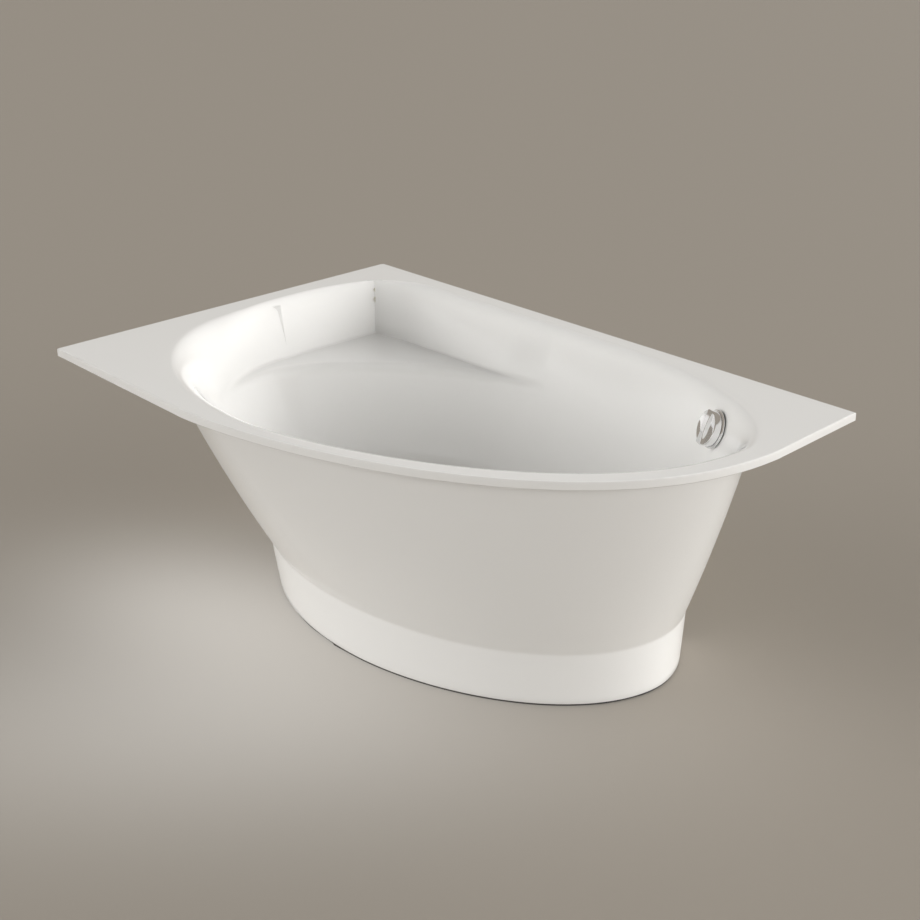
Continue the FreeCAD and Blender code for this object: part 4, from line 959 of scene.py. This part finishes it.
class BATHTUB_OT_panel(Operator):
    """Build the curved front panel with its waist crease and plinth"""
    bl_idname = "bathtub.panel"
    bl_label = "Front panel"

    def execute(self, context):
        settings = context.scene.bathtub_panel
        columns = settings.columns
        thickness = settings.thickness * 1000
        crease = settings.waist_round * 1000
        waist = HEIGHT - WAIST_HEIGHT
        top = HEIGHT - PANEL_HEIGHT
        depths = [top, top + 1.0]
        depths += list(np.linspace(PANEL_TOP_DEPTH, waist - 2 * crease, 26))
        depths += [waist + crease * share for share in (-1.0, -0.5, 0.0, 0.5, 1.0)]
        depths += list(np.linspace(waist + 2 * crease, HEIGHT - SEAL_HEIGHT - 1.0, 9))
        depths.append(HEIGHT - SEAL_HEIGHT)
        rows = len(depths)
        sides = np.zeros((2, rows, columns, 3))
        for side, grow, draw in ((0, 0.0, -PANEL_EDGE), (1, -thickness, PANEL_EDGE)):
            for i, depth in enumerate(depths):
                edge = draw if i in (0, rows - 1) else 0.0
                sides[side, i, :, :2] = panel_line(depth, grow + edge, columns)
                sides[side, i, :, 2] = HEIGHT - depth
        # the crease is rounded by drawing its rows toward a straight line over it
        middle = depths.index(waist)
        for side in sides:
            before = side[middle - 2].copy()
            after = side[middle + 2].copy()
            for k, pull in ((-1, 0.35), (0, 0.5), (1, 0.35)):
                chord = before + (after - before) * (k + 2) / 4
                side[middle + k] += (chord - side[middle + k]) * pull
        # where the bowl reaches past the panel, the panel's top edge drops to clear it
        back = (context.scene.bathtub_shell.sheet * 1000 + LAMINATE + PANEL_CLEAR)
        angles = polar(sides[1, 1])
        far = np.hypot(*(sides[1, 1, :, :2] - WASTE).T)
        lowered = np.full(columns, top)
        for depth in np.arange(PANEL_SEARCH, top, -1.0):
            limit = reach(oval(bowl_oval(max(depth - back, 0.0)), back), angles)
            lowered = np.where((far < limit) & (lowered == top), depth, lowered)
        drop = PANEL_ROW_GAP * np.arange(PANEL_TOP_ROWS)[:, None]
        upper = sides[:, :PANEL_TOP_ROWS, :, 2]
        upper[:] = np.minimum(upper, HEIGHT - lowered[None] - drop)
        make_mesh("panel_surface", to_frame(sides.reshape(-1, 3)),
                  sheet_faces(rows, columns), "tub", "panel_acrylic",
                  ("apron_panel",), smooth=50.0)
        return {"FINISHED"}


# ------------------------------------------------------------------ fittings
def knob_rings(settings, segments):
    """Rings of the knob from the middle of its face over the edge and the side to the
    hollow back and the hub. The face is a dish crossed by a raised grip: its height
    steps from the grip to the dish over a smooth cubic in the distance from the middle
    line, and the grip widens toward its ends as the square of the height."""
    knob = settings.knob * 1000
    turn = np.linspace(0, 2 * pi, segments, endpoint=False)

    def face_height(radius):
        x = np.abs(radius * np.cos(turn)) / knob
        y = radius * np.sin(turn) / knob
        out = np.clip((x - GRIP_HALF - GRIP_FLARE * y ** 2) / GRIP_SLOPE, 0.0, 1.0)
        out = out * out * (3 - 2 * out)
        high = KNOB_TOP + settings.grip * 1000 * (1 - GRIP_FALL * y ** 2)
        low = KNOB_TOP - settings.scoop * 1000 * (1 - (x * x + y * y) ** 2)
        return high + (low - high) * out

    lip = KNOB_LIP
    rings = [(radius + 0 * turn, face_height(radius))
             for radius in np.linspace(SMALL, knob - lip, 44)]
    edge = face_height(knob - lip)
    for angle in np.linspace(0, pi / 2, 8)[1:]:
        rings.append((knob - lip + lip * sin(angle) + 0 * turn,
                      edge - lip * (1 - cos(angle))))
    inside = KNOB_FLOOR - settings.scoop * 1000
    for radius, height in (
            (knob, KNOB_BACK + 4.0), (knob, KNOB_BACK + 0.8), (knob - 0.8, KNOB_BACK),
            (KNOB_INSIDE, KNOB_BACK), (KNOB_INSIDE - 0.5, KNOB_BACK + 1.0),
            (KNOB_INSIDE - 1.0, inside - 1.0), (KNOB_INSIDE - 2.0, inside),
            (KNOB_HUB, inside), (KNOB_HUB, KNOB_BACK), (AXLE, KNOB_BACK),
            (AXLE, KNOB_FLOOR), (SMALL, KNOB_FLOOR)):
        rings.append((radius + 0 * turn, height + 0 * turn))
    return np.stack([np.stack([radius * np.cos(turn), radius * np.sin(turn), height],
                              axis=-1) for radius, height in rings])


class BATHTUB_OT_overflow(Operator):
    """Build the overflow's rosette and the turning knob with its upright grip"""
    bl_idname = "bathtub.overflow"
    bl_label = "Overflow and knob"

    def execute(self, context):
        settings = context.scene.bathtub_fittings
        rosette = settings.rosette * 1000
        bore = AXLE + AXLE_GAP
        profile = [(bore, ROSETTE_SEAT), (rosette - 0.8, ROSETTE_SEAT)]
        profile += round_corner((rosette, ROSETTE_SEAT + 0.8), (rosette, ROSETTE_TOP),
                                (rosette - 2.4, ROSETTE_TOP), 8)
        profile += [(40.0, ROSETTE_TOP), (20.0, ROSETTE_TOP), (bore, ROSETTE_TOP)]
        points, faces = revolve(profile, 128)
        make_mesh("rosette_ring", at_overflow(points), faces, "tub", "chrome",
                  ("overflow_rosette",), smooth=40.0)
        segments = 160
        grid = knob_rings(settings, segments)
        faces = grid_faces(len(grid), segments, flip=True)
        faces.append(list(range(segments)))
        faces.append(list(range(len(grid) * segments - 1,
                                (len(grid) - 1) * segments - 1, -1)))
        make_mesh("knob_body", at_overflow(grid.reshape(-1, 3)), faces, "knob",
                  "chrome", ("overflow_knob",), smooth=40.0)
        return {"FINISHED"}


class BATHTUB_OT_waste(Operator):
    """Build the crowned drain plug with its neck and seal groove"""
    bl_idname = "bathtub.waste"
    bl_label = "Drain plug"

    def execute(self, context):
        low = HEIGHT - BOWL_DEPTH + PLUG_CROWN
        top = low + PLUG_CROWN
        foot = low - PLUG_NECK_DROP
        groove_low, groove_top = (low - drop for drop in PLUG_GROOVE_DROPS)
        profile = [(PLUG_BORE, low), (PLUG_BORE, foot), (PLUG_GROOVE, foot)]
        profile += round_corner((PLUG_NECK - SMALL, foot), (PLUG_NECK, foot),
                                (PLUG_NECK, foot + SMALL), 4)
        profile += [(PLUG_NECK, groove_low), (PLUG_GROOVE, groove_low),
                    (PLUG_GROOVE, groove_top), (PLUG_NECK, groove_top),
                    (PLUG_NECK, low)]
        profile += round_corner((PLUG_RADIUS - SMALL, low), (PLUG_RADIUS, low),
                                (PLUG_RADIUS, low + SMALL), 4)
        profile += round_corner((PLUG_RADIUS, low + 2.0), (PLUG_RADIUS, top - 1.0),
                                (PLUG_RADIUS - 3.0, top - 0.5), 8)
        profile += [(18.0, top - 0.1), (9.0, top), (AXIS, top), (AXIS, low)]
        points, faces = revolve(profile, 96)
        points = points + np.array([WASTE[0], WASTE[1], 0.0])
        make_mesh("plug_cap", to_frame(points), faces, "plug", "chrome",
                  ("drain_plug",), smooth=40.0)
        return {"FINISHED"}


def bent_path(points, bend, step):
    """Points along straight runs joined by tangent arcs of one radius, evenly spaced."""
    points = [np.array(point, float) for point in points]
    path = [points[0]]
    for i in range(1, len(points) - 1):
        back = points[i - 1] - points[i]
        ahead = points[i + 1] - points[i]
        back /= np.linalg.norm(back)
        ahead /= np.linalg.norm(ahead)
        half = np.arccos(np.clip(back @ ahead, -1, 1)) / 2
        middle = (back + ahead) / np.linalg.norm(back + ahead)
        centre = points[i] + middle * bend / sin(half)
        start = points[i] + back * bend * cos(half) / sin(half) - centre
        end = points[i] + ahead * bend * cos(half) / sin(half) - centre
        sweep = pi - 2 * half
        for share in np.linspace(0, 1, 24):
            path.append(centre + (start * sin((1 - share) * sweep)
                                  + end * sin(share * sweep)) / sin(sweep))
    path = np.array(path + [points[-1]])
    length = np.concatenate([[0], np.cumsum(np.linalg.norm(np.diff(path, axis=0),
                                                           axis=1))])
    even = np.linspace(0, length[-1], max(int(length[-1] / step), 2))
    return np.stack([np.interp(even, length, path[:, k]) for k in range(3)], axis=1)


def carried_rings(path, radii, segments):
    """Rings carried along a path: each ring stands square to the path, and its first
    direction is the last one's with the part along the path taken out."""
    along = np.gradient(path, axis=0)
    along /= np.linalg.norm(along, axis=1, keepdims=True)
    turn = np.linspace(0, 2 * pi, segments, endpoint=False)
    first = np.cross(along[0], [0.0, 1.0, 0.3])
    rings = []
    for point, direction, radius in zip(path, along, radii):
        first = first - direction * (first @ direction)
        first /= np.linalg.norm(first)
        second = np.cross(direction, first)
        rings.append(point + radius * (np.outer(np.cos(turn), first)
                                       + np.outer(np.sin(turn), second)))
    return np.stack(rings)


class BATHTUB_OT_hose(Operator):
    """Build the ribbed overflow hose behind the panel"""
    bl_idname = "bathtub.hose"
    bl_label = "Overflow hose"

    def execute(self, context):
        pitch = context.scene.bathtub_fittings.hose_pitch * 1000
        matrix = np.array(overflow_matrix())
        spigot = [(0, -CHAMBER - 12, SPIGOT_Z), (0, -SPIGOT_LENGTH - SPIGOT_RUN,
                                                 SPIGOT_Z)]
        start = [matrix[:3, :3] @ np.array(point) + matrix[:3, 3] for point in spigot]
        start = [point * 1000 + np.array([LENGTH / 2, -WIDTH / 2, 0]) for point in start]
        path = bent_path(start + HOSE_WAY, HOSE_BEND, pitch / 6)
        steps = np.arange(len(path))
        rib = 0.5 - 0.5 * np.cos(2 * pi * steps / 6)
        cuff = np.minimum(steps, steps[::-1]) < 24
        outer = np.where(cuff, HOSE_RADIUS, HOSE_RADIUS - 1.9 * rib)
        inner = np.where(cuff, HOSE_RADIUS - 3.0, HOSE_RADIUS - 3.0 - 1.0 * rib)
        segments = 32
        skin = np.concatenate([carried_rings(path, outer, segments),
                               carried_rings(path, inner, segments)[::-1]])
        make_mesh("hose_ribs", to_frame(skin.reshape(-1, 3)),
                  grid_faces(len(skin), segments, wrap_rows=True, flip=True), "tub",
                  "hose", ("overflow_hose",), smooth=60.0)
        return {"FINISHED"}


# ------------------------------------------------------------------ feet and frame
def thread_skin(pitch, depth, segments):
    """A threaded rod: along the turn the rows climb by one pitch, the radius follows a
    triangle wave of the height against the turn, and both ends are cut flat."""
    per_pitch = 4
    rows = int((ROD_TOP - ROD_FOOT) / pitch * per_pitch) + 2 * per_pitch
    turn = np.linspace(0, 2 * pi, segments, endpoint=False)
    row = np.arange(rows)[:, None]
    height = ROD_FOOT - pitch + row / per_pitch * pitch + 0 * turn[None]
    wave = np.abs(((row / per_pitch - turn[None] / (2 * pi)) % 1.0) * 2 - 1)
    radius = ROD_RADIUS - depth * wave
    radius -= 0.6 * np.clip(height - ROD_TOP + 1.0, 0.0, 1.0)
    height = np.clip(height, ROD_FOOT, ROD_TOP)
    return np.stack([radius * np.cos(turn), radius * np.sin(turn), height], axis=-1)


class BATHTUB_OT_feet(Operator):
    """Build the five threaded rods and the foot pads under them"""
    bl_idname = "bathtub.feet"
    bl_label = "Levelling feet"

    def execute(self, context):
        settings = context.scene.bathtub_feet
        for number in range(1, 6):
            low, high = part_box("foot_rod_%d" % number)
            centre = np.array([(low[0] + high[0]) / 2, (low[1] + high[1]) / 2, 0])
            self.rod(number, centre, settings)
            self.pad(number, centre)
        return {"FINISHED"}

    def rod(self, number, centre, settings):
        """A threaded rod and the hexagon for the spanner above its pad."""
        segments = 28
        skin = thread_skin(settings.thread_pitch * 1000, settings.thread_depth * 1000,
                           segments)
        rows = len(skin)
        faces = grid_faces(rows, segments)
        faces.append(list(range(segments))[::-1])
        faces.append(list(range((rows - 1) * segments, rows * segments)))
        points = skin.reshape(-1, 3)
        turn = np.arange(6) * pi / 3 + pi / 6
        corner = KEY_HALF / cos(pi / 6)
        key_top = KEY_LOW + KEY_HEIGHT
        ring = np.array([(ROD_RADIUS - 1.0, KEY_LOW), (corner - KEY_EDGE, KEY_LOW),
                         (corner, KEY_LOW + KEY_EDGE), (corner, key_top - KEY_EDGE),
                         (corner - KEY_EDGE, key_top), (ROD_RADIUS - 1.0, key_top)])
        key = np.stack([ring[:, :1] * np.cos(turn), ring[:, :1] * np.sin(turn),
                        ring[:, 1:] + 0 * turn], axis=-1).reshape(-1, 3)
        faces += [[k + len(points) for k in face]
                  for face in grid_faces(len(ring), 6, wrap_rows=True)]
        points = np.vstack([points, key]) / 1000 + centre
        make_mesh("threaded_rod_%d" % number, points, faces, "foot_%d" % number,
                  "zinc", ("foot_rod_%d" % number,), smooth=25.0)

    def pad(self, number, centre):
        low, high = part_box("foot_pad_%d" % number)
        radius = (high[0] - low[0]) * 500
        half = PAD_HEIGHT / 2
        neck = PAD_NECK
        profile = [(ROD_RADIUS, ROD_FOOT), (AXIS, ROD_FOOT), (AXIS, PAD_HOLLOW),
                   (radius - 8, PAD_HOLLOW), (radius - 7, 0.0), (radius - 1.0, 0.0)]
        profile += round_corner((radius, 1.0), (radius, half), (radius - 5.0, half), 7)
        profile += round_corner((neck + 4.0, half), (neck, half), (neck, half + 3.0), 6)
        profile += round_corner((neck, PAD_HEIGHT - 1.0), (neck, PAD_HEIGHT),
                                (neck - 1.0, PAD_HEIGHT), 4)
        profile += [(ROD_RADIUS, PAD_HEIGHT)]
        points, faces = revolve(profile, 64)
        make_mesh("pad_%d" % number, points / 1000 + centre, faces, "foot_%d" % number,
                  "black_plastic", ("foot_pad_%d" % number,), smooth=45.0)


BEVELLED = {"head_bar": 1.0, "middle_bar": 1.0, "foot_bar": 1.0, "frame_rails": 1.0,
            "corner_post": 1.0, "corner_plate": 0.3, "bar_caps": 0.5,
            "base_board": 0.4, "long_wall_batten": 0.7, "short_wall_batten": 0.7,
            "panel_clips": 0.6, "wall_brackets": 0.25, "lock_nuts": 0.3,
            "weld_nuts": 0.3, "post_insert": 0.3}


class BATHTUB_OT_frame(Operator):
    """Dress every other part in its finish and round the edges of the frame's parts"""
    bl_idname = "bathtub.frame"
    bl_label = "Frame and small parts"

    def execute(self, context):
        slots = {row["node"]: row["material_slot"]
                 for row in frame["record"]["subparts"]}
        edge = context.scene.bathtub_feet.edge
        for name, node in frame["nodes"].items():
            material = finish(slots[name])
            if not node.material_slots:
                node.data.materials.append(material)
            for slot in node.material_slots:
                slot.material = material
            if name in BEVELLED:
                weld = node.modifiers.new("weld", "WELD")
                weld.merge_threshold = 0.00001
                bevel = node.modifiers.new("bevel", "BEVEL")
                bevel.width = edge * BEVELLED[name]
                bevel.segments = 2
                bevel.limit_method = "ANGLE"
                bevel.angle_limit = radians(50)
                bevel.harden_normals = True
        return {"FINISHED"}


# ------------------------------------------------------------------ studio
def lobe(tree, direction, axis, power, strength):
    """A soft light in the sky: the cosine of the angle to an axis, cut at nothing, to
    a power, times a strength."""
    dot = tree.nodes.new("ShaderNodeVectorMath")
    dot.operation = "DOT_PRODUCT"
    tree.links.new(direction, dot.inputs[0])
    dot.inputs[1].default_value = Vector(axis).normalized()
    front = math_node(tree, "MAXIMUM", dot.outputs["Value"], 0.0)
    return math_node(tree, "MULTIPLY", math_node(tree, "POWER", front, power), strength)


def painted_light_spot(tree, place, centre, size, turn, strength):
    """A soft round or long spot of painted light on the floor: a bell curve of the
    distance from its centre, measured in its own size along and across its direction."""
    shape = tree.nodes.new("ShaderNodeMapping")
    shape.vector_type = "TEXTURE"
    shape.inputs["Location"].default_value = (*centre, 0)
    shape.inputs["Rotation"].default_value = (0, 0, turn)
    shape.inputs["Scale"].default_value = (*size, 1)
    tree.links.new(place, shape.inputs["Vector"])
    length = tree.nodes.new("ShaderNodeVectorMath")
    length.operation = "LENGTH"
    tree.links.new(shape.outputs["Vector"], length.inputs[0])
    square = math_node(tree, "POWER", length.outputs["Value"], 2.0)
    bell = math_node(tree, "EXPONENT", math_node(tree, "MULTIPLY", square, -1.0))
    return math_node(tree, "MULTIPLY", bell, strength)


class BATHTUB_OT_studio(Operator):
    """Set the floor with its painted pool of glowing light, the soft studio light and the
    camera
    """
    bl_idname = "bathtub.studio"
    bl_label = "Studio"

    def execute(self, context):
        settings = context.scene.bathtub_studio
        self.floor(context.scene, settings)
        self.sky(context.scene, settings)
        self.camera(context.scene, settings)
        context.scene.view_settings.view_transform = "Standard"
        return {"FINISHED"}

    def floor(self, scene, settings):
        material, tree, shader = blank_material("studio_floor")
        shader.inputs["Base Color"].default_value = (*settings.floor, 1)
        shader.inputs["Roughness"].default_value = 0.9
        shader.inputs["Specular IOR Level"].default_value = 0.1
        place = tree.nodes.new("ShaderNodeTexCoord").outputs["Object"]
        # painted light: these spots make the floor's own material glow as a pool of light
        # beside the tub, though the floor is no lamp
        glow = 0.0
        for centre, size, turn, strength in PAINTED_FLOOR_GLOW:
            spot = painted_light_spot(tree, place, centre, size, settings.azimuth + turn, strength)
            glow = math_node(tree, "ADD", spot, glow)
        tint = tree.nodes.new("ShaderNodeMix")
        tint.data_type = "RGBA"
        tint.inputs["A"].default_value = (0, 0, 0, 1)
        tint.inputs["B"].default_value = (*settings.pool, 1)
        tree.links.new(glow, tint.inputs["Factor"])
        tree.links.new(tint.outputs["Result"], shader.inputs["Emission Color"])
        shader.inputs["Emission Strength"].default_value = 1.0
        far = 60.0
        mesh = bpy.data.meshes.new("studio_floor")
        mesh.from_pydata([(-far, -far, 0), (far, -far, 0), (far, far, 0),
                          (-far, far, 0)], [], [(0, 1, 2, 3)])
        mesh.materials.append(material)
        floor = bpy.data.objects.new("studio_floor", mesh)
        floor.location = (0, 0, -0.0005)
        scene.collection.objects.link(floor)

    def sky(self, scene, settings):
        """Soft lobes light the tub; camera, mirror and glass rays see the backdrop."""
        world = bpy.data.worlds.new("studio")
        scene.world = world
        world.use_nodes = True
        tree = world.node_tree
        backdrop = tree.nodes["Background"]
        backdrop.inputs["Color"].default_value = (*settings.floor, 1)
        backdrop.inputs["Strength"].default_value = 1.0
        light = tree.nodes.new("ShaderNodeBackground")
        light.inputs["Color"].default_value = (1.0, 0.985, 0.965, 1)
        direction = tree.nodes.new("ShaderNodeTexCoord").outputs["Generated"]
        turn = Matrix.Rotation(settings.azimuth, 3, "Z")
        total = SKY_EVEN
        for (left, near, up), power, strength in SKY_LIGHTS:
            light_at = turn @ Vector((-left, -near, up))
            total = math_node(tree, "ADD",
                              lobe(tree, direction, light_at, power, strength), total)
        tree.links.new(total, light.inputs["Strength"])
        rays = tree.nodes.new("ShaderNodeLightPath")
        seen = math_node(tree, "MAXIMUM", rays.outputs["Is Camera Ray"],
                         math_node(tree, "MAXIMUM", rays.outputs["Is Glossy Ray"],
                                   rays.outputs["Is Transmission Ray"]))
        mix = tree.nodes.new("ShaderNodeMixShader")
        tree.links.new(seen, mix.inputs["Fac"])
        tree.links.new(light.outputs["Background"], mix.inputs[1])
        tree.links.new(backdrop.outputs["Background"], mix.inputs[2])
        tree.links.new(mix.outputs["Shader"],
                       tree.nodes["World Output"].inputs["Surface"])

    def camera(self, scene, settings):
        data = bpy.data.cameras.new("camera")
        data.lens = settings.lens
        data.sensor_width = 36.0
        data.clip_start = 0.1
        data.clip_end = 200.0
        camera = bpy.data.objects.new("camera", data)
        scene.collection.objects.link(camera)
        back = Vector((sin(settings.azimuth) * cos(settings.elevation),
                       -cos(settings.azimuth) * cos(settings.elevation),
                       sin(settings.elevation)))
        camera.location = (2.9713, -2.7366, 2.0790)
        camera.rotation_mode = "QUATERNION"
        camera.rotation_quaternion = (-back).to_track_quat("-Z", "Y")
        scene.camera = camera


class BATHTUB_PT_pieces(Panel):
    """Lists the pieces of the corner bathtub and their settings"""
    bl_idname = "BATHTUB_PT_pieces"
    bl_label = "Corner Bathtub"
    bl_space_type = "VIEW_3D"
    bl_region_type = "UI"
    bl_category = "Bathtub"

    def draw(self, context):
        for operator in OPERATORS:
            self.layout.operator(operator.bl_idname)
        for name, group in SETTINGS.items():
            box = self.layout.box()
            for key in group.__annotations__:
                box.prop(getattr(context.scene, name), key)


OPERATORS = (BATHTUB_OT_shell, BATHTUB_OT_panel, BATHTUB_OT_overflow, BATHTUB_OT_waste,
             BATHTUB_OT_hose, BATHTUB_OT_feet, BATHTUB_OT_frame, BATHTUB_OT_studio)


def register():
    for group in SETTINGS.values():
        bpy.utils.register_class(group)
    for name, group in SETTINGS.items():
        setattr(bpy.types.Scene, name, PointerProperty(type=group))
    for operator in OPERATORS:
        bpy.utils.register_class(operator)
    bpy.utils.register_class(BATHTUB_PT_pieces)


def unregister():
    bpy.utils.unregister_class(BATHTUB_PT_pieces)
    for operator in reversed(OPERATORS):
        bpy.utils.unregister_class(operator)
    for name, group in SETTINGS.items():
        delattr(bpy.types.Scene, name)
        bpy.utils.unregister_class(group)


def main():
    register()
    bpy.ops.bathtub.shell()
    bpy.ops.bathtub.panel()
    bpy.ops.bathtub.overflow()
    bpy.ops.bathtub.waste()
    bpy.ops.bathtub.hose()
    bpy.ops.bathtub.feet()
    bpy.ops.bathtub.frame()
    bpy.ops.bathtub.studio()


if __name__ == "__main__":
    main()
